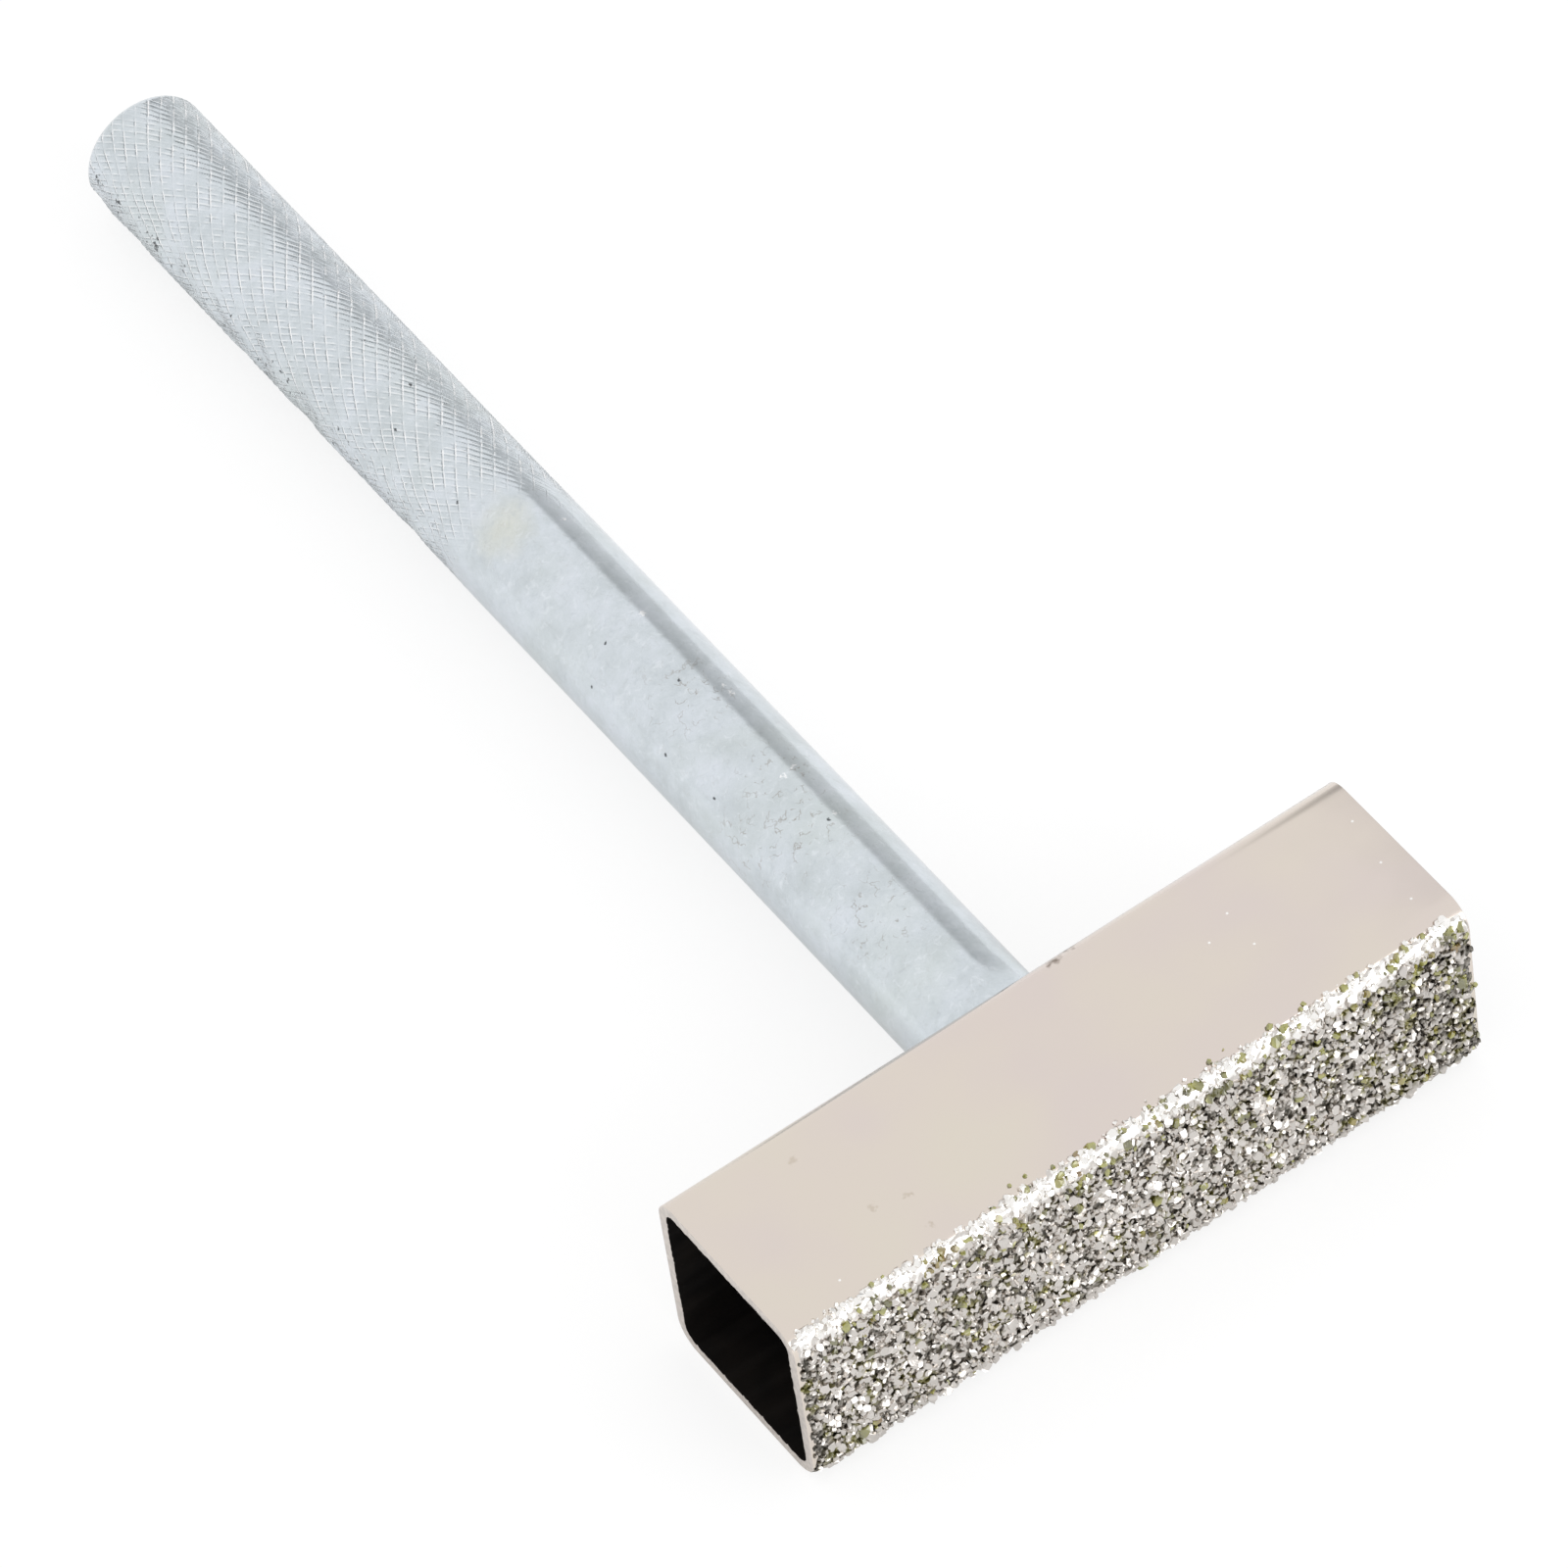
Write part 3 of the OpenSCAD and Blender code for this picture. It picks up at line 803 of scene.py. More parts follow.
@dataclass
class Handle:
    """Turned rod: riveted spigot, smooth shank and knurled grip."""

    shoulder: float
    free_end: float
    inner_end: float
    axis_height: float
    radius: float
    grip_start: float
    wall: float = 0.7 * MM
    spigot_radius: float = 2.5 * MM
    rivet_radius: float = 3.5 * MM
    rivet_steps: int = 6
    shoulder_break: float = 0.15 * MM
    shank_cuts: int = 11
    end_round: float = 1.2 * MM
    round_steps: int = 10
    end_dome: float = 0.4 * MM
    dome_steps: int = 8
    samples: int = 10
    merge: float = 0.0005 * MM
    pole: float = 0.1 * MM
    crest_drop: float = 0.02 * MM
    groove_depth: float = 0.055 * MM
    groove_half_width: float = 0.13
    groove_wear: RollWear = RollWear(0.8, 1.3, 0.25, 1.0)
    fine_depth: float = 0.075 * MM
    fine_half_width: float = 0.42
    fine_wear: RollWear = RollWear(0.9, 1.1, 0.35, 1.7)
    fade: float = 4.5 * MM
    start_drift: float = 0.8
    dent_size: float = 2.2 * MM
    dent_depth: float = 0.36 * MM
    dent_side: Span = (0.6, 0.95)

    @classmethod
    def from_frame(cls) -> "Handle":
        """Take the rod's place from the frame and its smooth length from the shank mount."""
        low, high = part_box("handle")
        shank = next(m for m in frame["record"]["mounts"] if m["name"] == "shank")
        half = shank["dims"]["length_mm"] * MM / 2
        middle = shank["pos_m"][1]
        return cls(shoulder=middle - half, free_end=high[1], inner_end=low[1], axis_height=shank["pos_m"][2],
                   radius=shank["dims"]["r_mm"] * MM, grip_start=middle + half)

    @property
    def knurl(self) -> Knurl:
        """Pattern of the grip's grooves."""
        return Knurl(self.grip_start, self.axis_height)

    def outline(self, shape: Shape) -> None:
        """Draw the turned outline from the rivet to the free end, as a chain of edges.

        Args:
            shape: Bmesh that gets the chain.
        """
        seat = self.shoulder - self.wall
        rivet = self.cap_radius(self.rivet_radius, seat - self.inner_end)
        edge_start = self.free_end - self.end_dome - self.end_round
        base = self.radius - self.end_round
        dome = self.cap_radius(base, self.end_dome)
        rows = round((edge_start - self.grip_start) * self.samples / self.knurl.pitch)
        tip = shape.verts.new((0.0, self.inner_end, self.axis_height))
        tip = self.arc_to(shape, tip, self.inner_end + rivet, math.asin(self.rivet_radius / rivet),
                          self.rivet_steps)
        for radius, along, cuts in ((self.spigot_radius, seat, 0), (self.spigot_radius, self.shoulder, 0),
                                    (self.radius - self.shoulder_break, self.shoulder, 0),
                                    (self.radius, self.shoulder + self.shoulder_break, 0),
                                    (self.radius, self.grip_start, self.shank_cuts),
                                    (self.radius, edge_start, rows - 1)):
            tip = self.line_to(shape, tip, radius, along, cuts)
        tip = self.arc_to(shape, tip, edge_start, math.pi / 2, self.round_steps, base)
        self.arc_to(shape, tip, self.free_end - dome, math.asin(base / dome), self.dome_steps)

    @staticmethod
    def cap_radius(base: float, rise: float) -> float:
        """Radius of the sphere whose cap has this base and rise."""
        return (base * base + rise * rise) / (2.0 * rise)

    def arc_to(self, shape: Shape, tip: bmesh.types.BMVert, centre: float, angle: float, steps: int,
               offset: float = 0.0) -> bmesh.types.BMVert:
        """Lengthen the outline by an arc.

        Args:
            shape: Bmesh with the outline.
            tip: Last point of the outline.
            centre: Place of the arc's centre along Y.
            angle: Angle of the arc.
            steps: Number of edges.
            offset: Distance of the arc's centre from the rod's axis.

        Returns:
            The new last point.
        """
        swept = bmesh.ops.spin(shape, geom=[tip], cent=(offset, centre, self.axis_height),
                               axis=(0.0, 0.0, 1.0), angle=angle, steps=steps)
        return next(g for g in swept["geom_last"] if isinstance(g, bmesh.types.BMVert))

    def line_to(self, shape: Shape, tip: bmesh.types.BMVert, radius: float, along: float,
                cuts: int) -> bmesh.types.BMVert:
        """Lengthen the outline by a straight line.

        Args:
            shape: Bmesh with the outline.
            tip: Last point of the outline.
            radius: Radius at the line's end.
            along: Place of the line's end along Y.
            cuts: Number of points to add inside the line.

        Returns:
            The new last point.
        """
        pulled = bmesh.ops.extrude_vert_indiv(shape, verts=[tip])
        end = pulled["verts"][0]
        end.co = (radius, along, self.axis_height)
        if cuts:
            # Cutting a loose edge replaces its end, which is then the outline's farthest point along Y.
            bmesh.ops.subdivide_edges(shape, edges=pulled["edges"], cuts=cuts)
            end = max(shape.verts, key=lambda vert: vert.co.y)
        return end

    def grip_at(self, angle: float, along: float) -> float:
        """Share of the full knurl at a place on the rod: 0 on the shank, 1 on the grip."""
        wave = noise.noise(Vector((math.sin(angle), math.cos(angle), along / (2.0 * self.fade))))
        start = self.grip_start + self.start_drift * self.fade * wave
        return smooth_step(start, start + self.fade, along)

    def groove_at(self, angle: float, along: float) -> float:
        """Depth of a fully pressed knurl at a place on the rod, with the dents in its left side.

        Args:
            angle: Angle round the rod.
            along: Place along Y.

        Returns:
            The depth below the crests.
        """
        coarse_phase, fine_phase = self.knurl.phases(angle, along)
        place = Vector((self.radius * math.sin(angle), along, self.radius * math.cos(angle)))
        coarse = self.groove_wear.at(place) * self.groove_depth
        fine = self.fine_wear.at(place) * self.fine_depth
        left_side = smooth_step(self.dent_side[0] * self.radius, self.dent_side[1] * self.radius, -place.x)
        dent = self.dent_depth * left_side * max(0.0, noise.noise(place / self.dent_size))
        return dent + max(coarse * self.v_groove(coarse_phase, self.groove_half_width),
                          fine * self.v_groove(fine_phase, self.fine_half_width))

    @staticmethod
    def v_groove(phase: float, half_width: float) -> float:
        """Give 1 in the middle of a groove and 0 on the land, for a phase counted in grooves."""
        return max(0.0, 1.0 - abs(phase - round(phase)) / half_width)

    def build(self) -> SceneObject:
        """Turn the rod, press the knurl into it and dress it.

        Returns:
            The handle piece.
        """
        shape = bmesh.new()
        self.outline(shape)
        bmesh.ops.spin(shape, geom=list(shape.verts) + list(shape.edges), cent=(0.0, 0.0, self.axis_height),
                       axis=(0.0, 1.0, 0.0), angle=FULL_TURN, steps=self.knurl.starts * self.samples,
                       use_merge=True)
        bmesh.ops.remove_doubles(shape, verts=list(shape.verts), dist=self.merge)
        bmesh.ops.recalc_face_normals(shape, faces=list(shape.faces))
        self.press_knurl(shape)
        return add_piece("handle_zinc_rod", shape, [ZincPlate(self.knurl).material()], "handle")

    def press_knurl(self, shape: Shape) -> None:
        """Push the grip's points in along the grooves and keep the knurl's share as an attribute."""
        grip_layer = shape.verts.layers.float.new("grip")
        for vert in shape.verts:
            x, z = vert.co.x, vert.co.z - self.axis_height
            reach = math.hypot(x, z)
            if vert.co.y <= self.grip_start - self.fade or reach < self.pole:
                continue
            angle = math.atan2(x, z)
            grip = self.grip_at(angle, vert.co.y)
            depth = grip * self.groove_at(angle, vert.co.y)
            limit = self.radius - grip * self.crest_drop - depth
            vert[grip_layer] = grip
            if limit < reach:
                vert.co.x = x * limit / reach
                vert.co.z = self.axis_height + z * limit / reach


class GrainKind(Enum):
    """The two kinds of grain in the coat, with the range of their cut corners on a cube of one unit."""

    COATED = (0.2, 0.46)
    BARE = (0.28, 0.42)


@dataclass
class DiamondLayer:
    """Coat of nickel-bonded diamond grit on the front face and round its two corners.

    Right end, right fall and top zone are shares of the coat's length or width.
    """

    tube: HeadTube
    wrap: float = math.radians(60.0)
    end_margin: float = 0.12 * MM
    border: float = 0.2 * MM
    left_border: float = 0.12 * MM
    right_border: float = 0.08 * MM
    rag: float = 0.6 * MM
    rag_size: float = 0.45 * MM
    edge_slope: float = 0.16 * MM
    film: float = 0.13 * MM
    film_cell: float = 0.13 * MM
    film_crest: float = 0.35
    sunk: float = 0.03 * MM
    lump_size: float = 0.42 * MM
    lump_height: float = 0.04 * MM
    lump_slope: float = 0.36
    lump_scatter: float = 5.7
    crease_width: float = 0.2
    crease_depth: float = 0.06 * MM
    rim_width: float = 1.9 * MM
    rim_core: float = 0.3
    rim_smooth: float = 0.6
    # Painted highlight along the top border: its level, its level in the creases and at the grains' feet.
    rim_highlight_level: float = 1.6
    rim_crease: float = 0.4
    rim_foot: float = 0.6
    rim_gap: float = 0.45
    settle: float = 0.9 * MM
    settled_size: float = 0.5
    grain_spacing: float = 0.36 * MM
    grain_sizes: tuple[float, float, float] = (0.15 * MM, 0.54 * MM, 0.3 * MM)
    grain_stretch: Span = (0.55, 1.35)
    grain_sink: Span = (-0.25, 0.1)
    grain_tone: Span = (0.8, 1.1)
    crystal_count: int = 9
    crystal_jitter: Span = (0.85, 1.15)
    right_shade: float = 0.32
    right_fall: Span = (0.1, 0.5)
    coated_share: float = 0.93
    crest_height: float = 0.36 * MM
    bare_share: float = 0.03
    bare_right: float = 0.16
    right_end: Span = (0.3, 0.5)
    bare_top: float = 0.32
    top_zone: float = 0.25
    cluster_size: float = 2.2 * MM
    cluster_slice: float = 9.0 * MM
    cluster_swing: float = 1.6
    small_share: float = 0.6
    stray_count: int = 14
    stray_span: float = 0.45
    stray_bare: float = 0.75
    strays_per_mm: float = 5.0
    nodule_count: int = 200
    nodule_span: float = 0.49
    nodule_drift_mm: Span = (0.1, 0.15)
    seed: int = 41

    @property
    def arc(self) -> float:
        """Length of the coat round one corner."""
        return self.tube.corner * self.wrap

    @property
    def flat(self) -> float:
        """Height of the flat part of the front face."""
        return self.tube.high.z - self.tube.low.z - 2.0 * self.tube.corner

    @property
    def width(self) -> float:
        """Length of the coat's section from its top border to its bottom border."""
        return self.flat + 2.0 * self.arc

    @property
    def length(self) -> float:
        """Length of the coat along the tube."""
        return self.tube.high.x - self.tube.low.x - 2.0 * self.end_margin

    def seat(self, along: float, down: float) -> tuple[Vector, Vector]:
        """Find a place on the tube under the coat.

        Args:
            along: Place along X.
            down: Distance from the sheet's top edge, measured round the section.

        Returns:
            The point on the tube and the outward normal there.
        """
        tube = self.tube
        centre_y = tube.low.y + tube.corner
        if down < self.arc:
            angle, centre_z = self.wrap - down / tube.corner, tube.high.z - tube.corner
        elif down > self.arc + self.flat:
            angle, centre_z = -(down - self.arc - self.flat) / tube.corner, tube.low.z + tube.corner
        else:
            angle, centre_z = 0.0, tube.high.z - tube.corner - (down - self.arc)
        normal = Vector((0.0, -math.cos(angle), math.sin(angle)))
        return Vector((along, centre_y, centre_z)) + tube.corner * normal, normal

    def build(self) -> list[SceneObject]:
        """Lay the film of bond, then the coated and the bare grains.

        Returns:
            The pieces of the coat.
        """
        bond = GritNickel().material()
        coated, bare = self.grow_grains()
        return [
            add_piece("grit_bond_film", self.lay_film(), [bond], "diamond_layer"),
            add_piece("grit_grains_coated", coated, [bond], smooth=False),
            add_piece("grit_grains_bare", bare, [BARE_DIAMOND.material()], smooth=False),
        ]

    def inset(self, along: float, down: float) -> float:
        """Distance of a place from the coat's ragged border, positive inside it.

        Args:
            along: Place along X.
            down: Distance from the sheet's top edge.

        Returns:
            The distance.
        """
        gaps = (down - self.border, self.width - down - self.border,
                along + self.length / 2 - self.left_border, self.length / 2 - along - self.right_border)
        return min(gaps) + self.rag * noise.noise(Vector((along, down, 0.0)) / self.rag_size)

    def rim_at(self, along: float, down: float) -> float:
        """Share of the band along the top border, which holds fewer grains and gets a painted highlight: 1 at
        the border, 0 past its ragged width.
        """
        drift = self.rag * noise.noise(Vector((along, down, self.rim_width)) / self.rag_size)
        return 1.0 - smooth_step(self.rim_core * self.rim_width, self.rim_width, down - self.border + drift)

    def lump(self, along: float, down: float) -> Span:
        """Relief of the plated-over grit: tilted facets with creases between them.

        Args:
            along: Place along X.
            down: Distance from the sheet's top edge.

        Returns:
            The height over the film and the share of the crease, 0 in its middle.
        """
        place = Vector((along, down, 0.0)) / self.lump_size
        gaps, seeds = noise.voronoi(place)
        tilt = noise.noise_vector(seeds[0] * self.lump_scatter)
        offset = (place - seeds[0]) * self.lump_size
        slope = self.lump_slope * smooth_step(0.0, self.rim_smooth * self.rim_width, down - self.border)
        rise = self.lump_height * tilt.z + slope * (tilt.x * offset.x + tilt.y * offset.y)
        open_share = smooth_step(0.0, self.crease_width, gaps[1] - gaps[0])
        return rise - self.crease_depth * (1.0 - open_share), open_share

    def lay_film(self) -> Shape:
        """Make the bond as a thin closed shell with plated-over lumps and a ragged border.

        Returns:
            The film's bmesh.
        """
        # Noise vectors depend on a seed that Blender takes from the clock unless it is set.
        noise.seed_set(self.seed)
        shape = bmesh.new()
        columns = round(self.length / self.film_cell)
        rows = round(self.width / self.film_cell)
        bmesh.ops.create_grid(shape, x_segments=columns, y_segments=rows, size=0.5)
        crest = shape.verts.layers.float.new("crest")
        for vert in shape.verts:
            along, down = vert.co.x * self.length, (0.5 - vert.co.y) * self.width
            lift = smooth_step(0.0, self.edge_slope, self.inset(along, down))
            rise, open_share = self.lump(along, down)
            spot, normal = self.seat(along, down)
            vert.co = spot + normal * (lift * (self.film + rise) - self.sunk * (1.0 - lift))
            # Painted light: shade in the creases, a near-white highlight in the top border's band.
            rim = self.rim_at(along, down)
            rim_level = self.rim_crease + (1.0 - self.rim_crease) * open_share
            vert[crest] = self.film_crest * open_share * (1.0 - rim) + self.rim_highlight_level * rim * rim_level
        bmesh.ops.recalc_face_normals(shape, faces=list(shape.faces))
        if sum(face.normal.y for face in shape.faces) > 0.0:
            bmesh.ops.reverse_faces(shape, faces=list(shape.faces))
        bmesh.ops.solidify(shape, geom=list(shape.faces), thickness=2.0 * self.sunk)
        return shape

    def crystal(self, kind: GrainKind, chance: random.Random) -> bpy.types.Mesh:
        """Make one prototype grain: a cube with its corners cut off, as diamond grows.

        Args:
            kind: Whether the grain is coated or bare.
            chance: Source of random numbers.

        Returns:
            A mesh about one unit across.
        """
        shape = bmesh.new()
        bmesh.ops.create_cube(shape, size=1.0)
        bmesh.ops.bevel(shape, geom=list(shape.verts), offset=chance.uniform(*kind.value),
                        offset_type="OFFSET", affect="VERTICES", segments=1, profile=0.5, material=-1)
        for vert in shape.verts:
            vert.co *= chance.uniform(*self.crystal_jitter)
        shape.verts.layers.float.new("crest")
        mesh = bpy.data.meshes.new("grit_crystal")
        shape.to_mesh(mesh)
        shape.free()
        return mesh

    def kind_at(self, along: float, down: float, chance: random.Random) -> GrainKind | None:
        """Choose a grain's kind: bare diamonds are commoner at the right end and near the top border.

        Args:
            along: Place along X.
            down: Distance from the sheet's top edge.
            chance: Source of random numbers.

        Returns:
            The grain's kind, or None where the bond has no grain that stands out.
        """
        share = self.bare_share
        share += self.bare_right * smooth_step(*[part * self.length for part in self.right_end], along)
        share += self.bare_top * (1.0 - smooth_step(0.0, self.top_zone * self.width, down))
        cluster = noise.noise(Vector((along, down, self.cluster_slice)) / self.cluster_size)
        draw = chance.random()
        if draw < share * (1.0 + self.cluster_swing * cluster):
            return GrainKind.BARE
        return GrainKind.COATED if draw > 1.0 - self.coated_share else None

    def grow_grains(self) -> tuple[Shape, Shape]:
        """Scatter crystals over the coat on a jittered grid, with strays and nodules along its top border.

        Returns:
            The coated grains and the bare grains.
        """
        chance = random.Random(self.seed)
        crystals = {kind: [self.crystal(kind, chance) for _ in range(self.crystal_count)]
                    for kind in GrainKind}
        shapes = {kind: bmesh.new() for kind in GrainKind}
        columns = round(self.length / self.grain_spacing)
        rows = round(self.width / self.grain_spacing)
        for row in range(rows + 1):
            batch = {kind: bmesh.new() for kind in GrainKind}
            for column in range(columns + 1):
                along = (column / columns - 0.5) * self.length
                along += chance.uniform(-0.5, 0.5) * self.grain_spacing
                down = row / rows * self.width + chance.uniform(-0.5, 0.5) * self.grain_spacing
                kind = self.kind_at(along, down, chance)
                free = self.rim_gap * self.rim_at(along, down) < chance.random()
                if kind and free and self.inset(along, down) > 0.0:
                    inner = smooth_step(0.0, self.settle, self.length / 2 - abs(along))
                    share = self.settled_size + (1.0 - self.settled_size) * inner
                    self.plant(batch[kind], chance.choice(crystals[kind]), along, down, chance, share)
            for kind, grains in batch.items():
                self.pour(grains, shapes[kind])
        for _ in range(self.stray_count):
            along = chance.uniform(-self.stray_span, self.stray_span) * self.length
            kind = GrainKind.BARE if chance.random() < self.stray_bare else GrainKind.COATED
            down = self.border - chance.expovariate(self.strays_per_mm) * MM
            self.plant(shapes[kind], chance.choice(crystals[kind]), along, down, chance, self.small_share)
        for _ in range(self.nodule_count):
            along = chance.uniform(-self.nodule_span, self.nodule_span) * self.length
            down = self.border + chance.gauss(*self.nodule_drift_mm) * MM
            crystal = chance.choice(crystals[GrainKind.COATED])
            self.plant(shapes[GrainKind.COATED], crystal, along, down, chance, self.small_share)
        for mesh in crystals[GrainKind.COATED] + crystals[GrainKind.BARE]:
            bpy.data.meshes.remove(mesh)
        return shapes[GrainKind.COATED], shapes[GrainKind.BARE]

    @staticmethod
    def pour(grains: Shape, shape: Shape) -> None:
        """Add a batch of grains to the whole coat and free the batch."""
        mesh = bpy.data.meshes.new("grit_batch")
        grains.to_mesh(mesh)
        grains.free()
        shape.from_mesh(mesh)
        bpy.data.meshes.remove(mesh)

    def plant(self, shape: Shape, crystal: bpy.types.Mesh, along: float, down: float, chance: random.Random,
              share: float) -> None:
        """Set one crystal into the coat.

        Args:
            shape: Bmesh that gets the crystal.
            crystal: Prototype mesh.
            along: Place along X.
            down: Distance from the sheet's top edge.
            chance: Source of random numbers.
            share: Size as a share of the usual one.
        """
        spot, normal = self.seat(along, down)
        size = share * chance.triangular(*self.grain_sizes)
        sink = share * self.film + chance.uniform(*self.grain_sink) * size
        turn = Matrix.Rotation(chance.uniform(0.0, FULL_TURN), 4, Vector((
            chance.gauss(0.0, 1.0), chance.gauss(0.0, 1.0), chance.gauss(0.0, 1.0))).normalized())
        stretch = Matrix.Diagonal([chance.uniform(*self.grain_stretch) for _ in range(3)] + [1.0])
        move = Matrix.Translation(spot + normal * sink) @ turn @ Matrix.Scale(size, 4) @ stretch
        shade = self.right_shade * smooth_step(*[part * self.length for part in self.right_fall], along)
        tone = chance.uniform(*self.grain_tone) - shade
        rim = self.rim_highlight_level * self.rim_at(along, down)
        first = len(shape.verts)
        shape.from_mesh(crystal)
        shape.verts.ensure_lookup_table()
        crest = shape.verts.layers.float["crest"]
        for vert in shape.verts[first:]:
            vert.co = move @ vert.co
            # Painted light by height: each grain darker towards its foot and lighter towards its top, near
            # white in the top border's band.
            height = min(1.0, max(0.0, (vert.co - spot).dot(normal) / self.crest_height))
            vert[crest] = max(rim * (self.rim_foot + height), tone * height)


# Studio

@dataclass
class PhotoCamera:
    """Camera that sees the part as the reference does."""

    azimuth: float = math.radians(-28.258)
    elevation: float = math.radians(51.170)
    roll: float = math.radians(-9.145)
    distance: float = 633.3 * MM
    target: tuple[float, float, float] = (1.631 * MM, 29.537 * MM, 6.0 * MM)
    focal_px: float = 11618.8
    image_px: float = 1600.0
    sensor_mm: float = 36.0
    clip_start: float = 0.01

    def build(self) -> SceneObject:
        """Place the camera and make it the scene's own.

        Returns:
            The camera object.
        """
        level = math.cos(self.elevation)
        back = Vector((math.sin(self.azimuth) * level, -math.cos(self.azimuth) * level,
                       math.sin(self.elevation)))
        across = Vector((math.cos(self.azimuth), math.sin(self.azimuth), 0.0))
        upward = back.cross(across)
        right = math.cos(self.roll) * across + math.sin(self.roll) * upward
        top = math.cos(self.roll) * upward - math.sin(self.roll) * across
        data = bpy.data.cameras.new("photo_camera")
        data.sensor_width = self.sensor_mm
        data.lens = self.focal_px / self.image_px * self.sensor_mm
        data.clip_start = self.clip_start
        camera = bpy.data.objects.new("photo_camera", data)
        turn = Matrix((right, top, back)).transposed().to_4x4()
        camera.matrix_world = Matrix.Translation(Vector(self.target) + back * self.distance) @ turn
        bpy.context.scene.collection.objects.link(camera)
        bpy.context.scene.camera = camera
        return camera


@dataclass
class Softbox:
    """Rectangular soft lamp that faces the part."""

    name: str = "front_softbox"
    direction: tuple[float, float, float] = (0.30, -0.87, 0.37)
    distance: float = 0.9
    width: float = 0.9
    height: float = 0.68
    radiance: float = 1.75

    def hang(self, pivot: Vector) -> SceneObject:
        """Hang the lamp.

        Args:
            pivot: Point near the part that the lamp faces.

        Returns:
            The lamp object.
        """
        data = bpy.data.lights.new(self.name, "AREA")
        data.shape = "RECTANGLE"
        data.size = self.width
        data.size_y = self.height
        data.energy = self.radiance * math.pi * self.width * self.height
        lamp = bpy.data.objects.new(self.name, data)
        direction = Vector(self.direction).normalized()
        lamp.location = pivot + direction * self.distance
        lamp.rotation_euler = direction.to_track_quat("Z", "Y").to_euler()
        lamp.visible_camera = False
        bpy.context.scene.collection.objects.link(lamp)
        return lamp


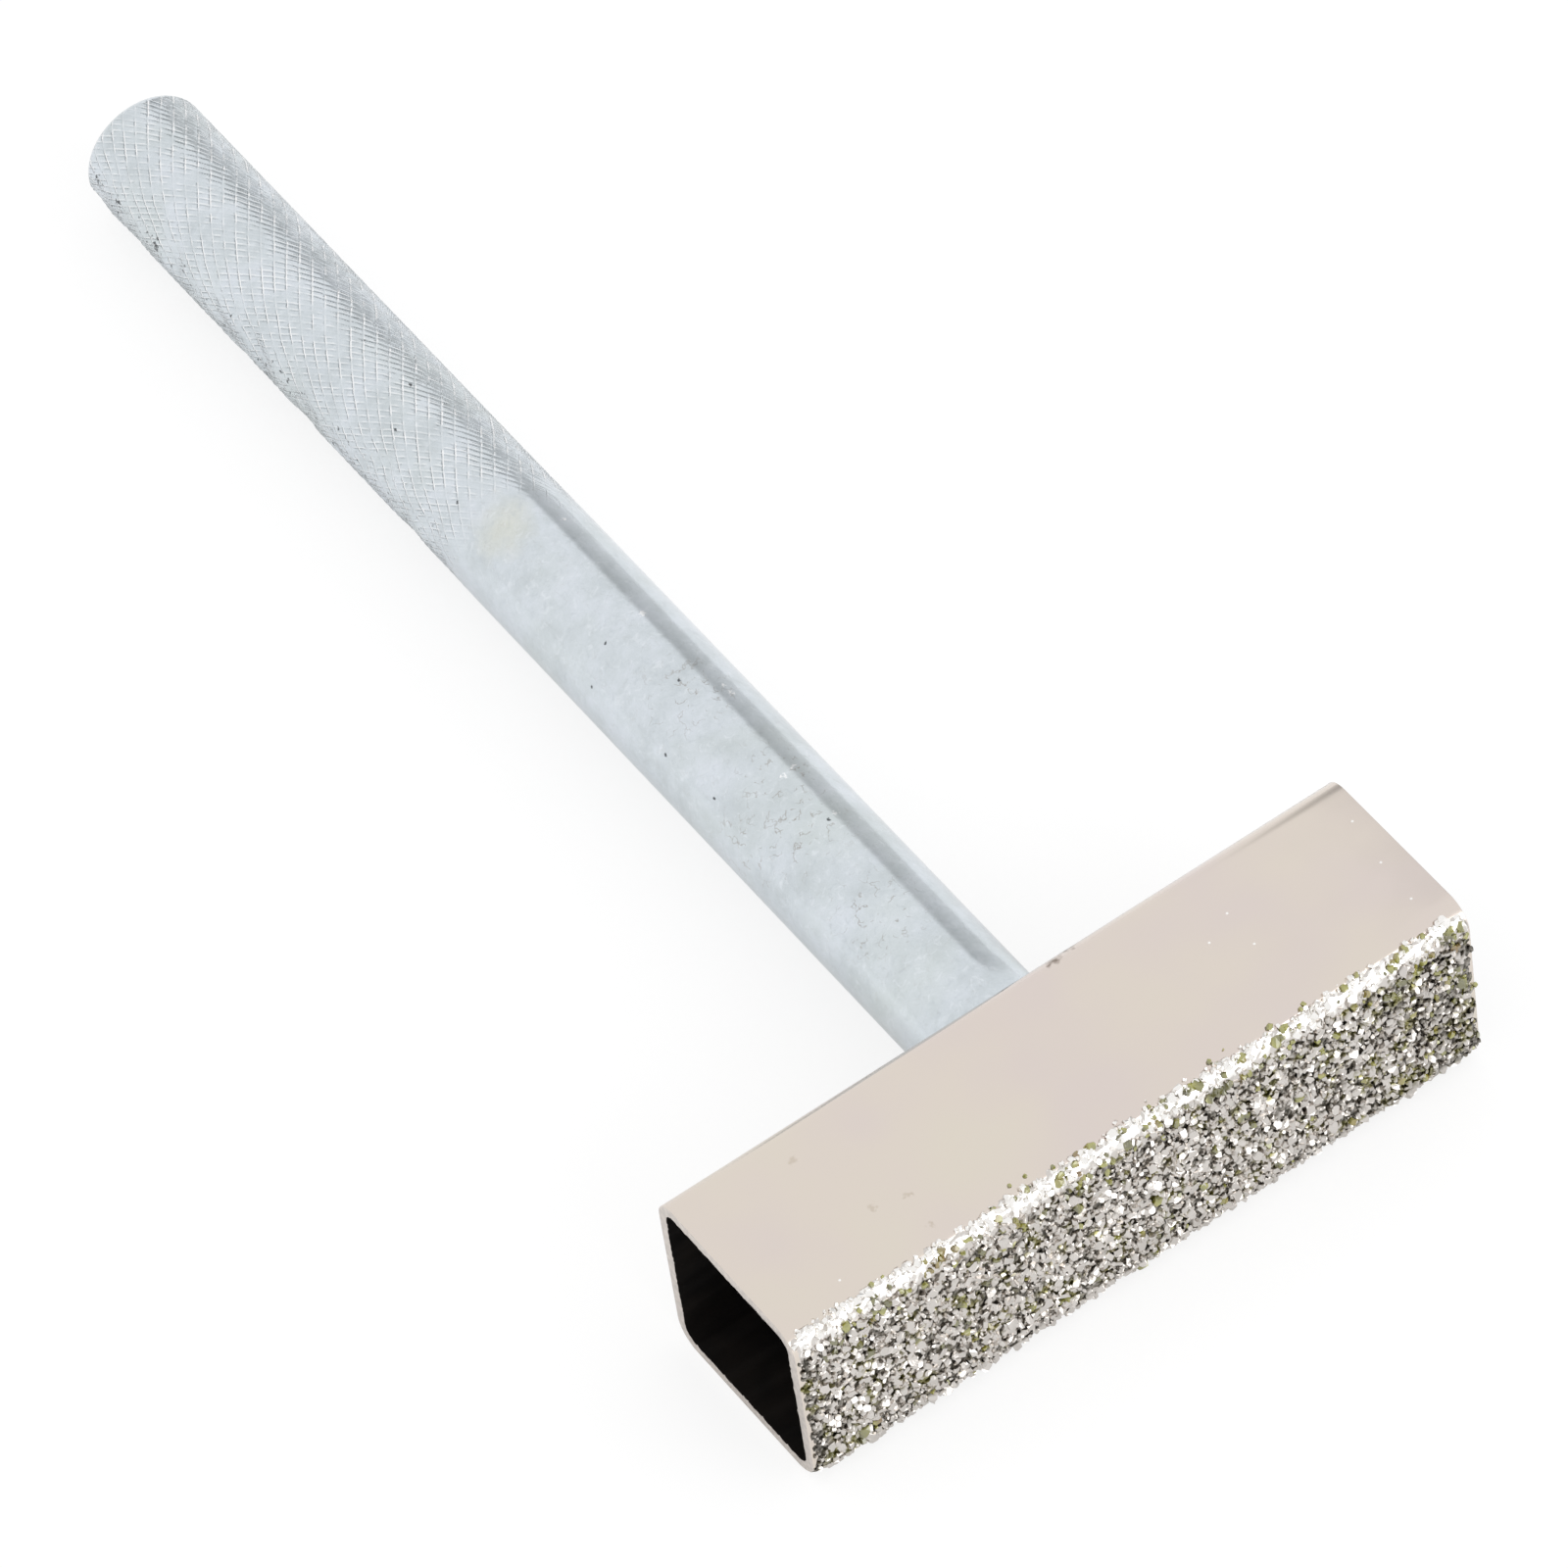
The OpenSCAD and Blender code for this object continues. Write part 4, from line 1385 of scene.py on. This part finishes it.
@dataclass
class Studio:
    """White floor, a bright dome with a grey wall to the right, and a softbox in front."""

    floor_half: float = 3.0
    floor_tilt: float = math.radians(1.6)
    card_colour: str = "#E8E8E8"
    card_glow: float = 0.15
    card_roughness: float = 0.9
    lifted_colour: str = "#848484"
    lifted_glow: float = 0.78
    dome_level: float = 1.0
    wall_edge: tuple[float, float, float] = (0.618, 0.0, -0.786)
    wall_blend: Span = (-0.1, 0.01)
    wall_rise: Span = (0.02, 0.5)
    wall_levels: Span = (0.6, 0.82)
    wall_side: Span = (0.48, 0.6)
    wall_front: Span = (0.25, 0.45)
    wall_corner: Span = (0.62, 0.8)
    corner_shade: float = 0.35
    softbox: Softbox = field(default_factory=Softbox)

    def build(self, pivot: Vector) -> None:
        """Set up the floor, the dome, the softbox and the view settings.

        Args:
            pivot: Point of the part that touches the floor.
        """
        self.lay_floor(pivot)
        self.light_dome()
        self.softbox.hang(pivot)
        bpy.context.scene.view_settings.view_transform = "Standard"

    def lay_floor(self, pivot: Vector) -> SceneObject:
        """Lay the floor under the tube's back edge and the handle's free end.

        Args:
            pivot: Point that the floor passes through.

        Returns:
            The floor object.
        """
        shape = bmesh.new()
        bmesh.ops.create_grid(shape, x_segments=1, y_segments=1, size=self.floor_half)
        turn = Matrix.Translation(pivot) @ Matrix.Rotation(self.floor_tilt, 4, "X")
        bmesh.ops.transform(shape, matrix=turn, verts=list(shape.verts))
        mesh = bpy.data.meshes.new("floor")
        shape.to_mesh(mesh)
        shape.free()
        floor = bpy.data.objects.new("floor", mesh)
        bpy.context.scene.collection.objects.link(floor)
        mesh.materials.append(self.floor_material())
        return floor

    def floor_material(self) -> Material:
        """Make the white floor, which keeps the part's shadow.

        Returns:
            The floor's material.
        """
        # Matte white card; its glow lifts it to pure white for the eye, and less in metal, which
        # mirrors the card's own white with the shadow close to the part.
        material, tree, shader = new_material("white_card")
        rays = add_node(tree, "LightPath").node.outputs
        colour = add_node(tree, "Mix", {"data_type": "RGBA", 6: self.card_colour, 7: self.lifted_colour},
                          {0: rays["Is Camera Ray"]}, 2)
        glow = add_node(tree, "Math", {"operation": "MULTIPLY", 1: self.lifted_glow},
                        {0: rays["Is Camera Ray"]})
        for ray in ("Is Glossy Ray", "Is Transmission Ray"):
            glow = add_node(tree, "Math", {"operation": "MULTIPLY_ADD", 1: self.card_glow},
                            {0: rays[ray], 2: glow})
        plug(tree, shader, {"Base Color": colour, "Roughness": self.card_roughness, "Specular IOR Level": 0.0,
                            "Emission Color": WHITE, "Emission Strength": glow})
        return material

    def light_dome(self) -> None:
        """Light the part from a bright dome with a grey wall to the right."""
        world = bpy.data.worlds.new("studio_dome")
        bpy.context.scene.world = world
        world.use_nodes = True
        tree = world.node_tree
        direction = add_node(tree, "TexCoord", out="Generated")
        past = add_node(tree, "VectorMath", {"operation": "DOT_PRODUCT", 1: self.wall_edge}, {0: direction},
                        "Value")
        wall = add_node(tree, "MapRange", {FROM: self.wall_rise, TO: self.wall_levels}, {0: past})
        split = add_node(tree, "SeparateXYZ", links={0: direction}).node.outputs
        corner = add_node(tree, "MapRange", {FROM: self.wall_corner, TO: (1.0, self.corner_shade)},
                          {0: split["Y"]})
        wall = add_node(tree, "Math", {"operation": "MULTIPLY"}, {0: wall, 1: corner})
        share = add_node(tree, "MapRange", {FROM: self.wall_blend}, {0: past})
        for axis, span in (("X", self.wall_side), ("Y", self.wall_front)):
            side = add_node(tree, "MapRange", {FROM: span}, {0: split[axis]})
            share = add_node(tree, "Math", {"operation": "MULTIPLY"}, {0: share, 1: side})
        level = add_node(tree, "Mix", {2: self.dome_level}, {0: share, 3: wall})
        plug(tree, tree.nodes["Background"], {"Color": WHITE, "Strength": level})


def main() -> None:
    """Build the camera, the studio and the three sub-assemblies in order."""
    logging.basicConfig(level=logging.INFO, format="%(name)s: %(message)s")
    PhotoCamera().build()
    tube = HeadTube.from_frame()
    contact = Vector((0.0, tube.high.y - tube.corner, tube.low.z))
    Studio().build(contact)
    tube.build()
    Handle.from_frame().build()
    DiamondLayer(tube).build()


if __name__ == "__main__":
    main()
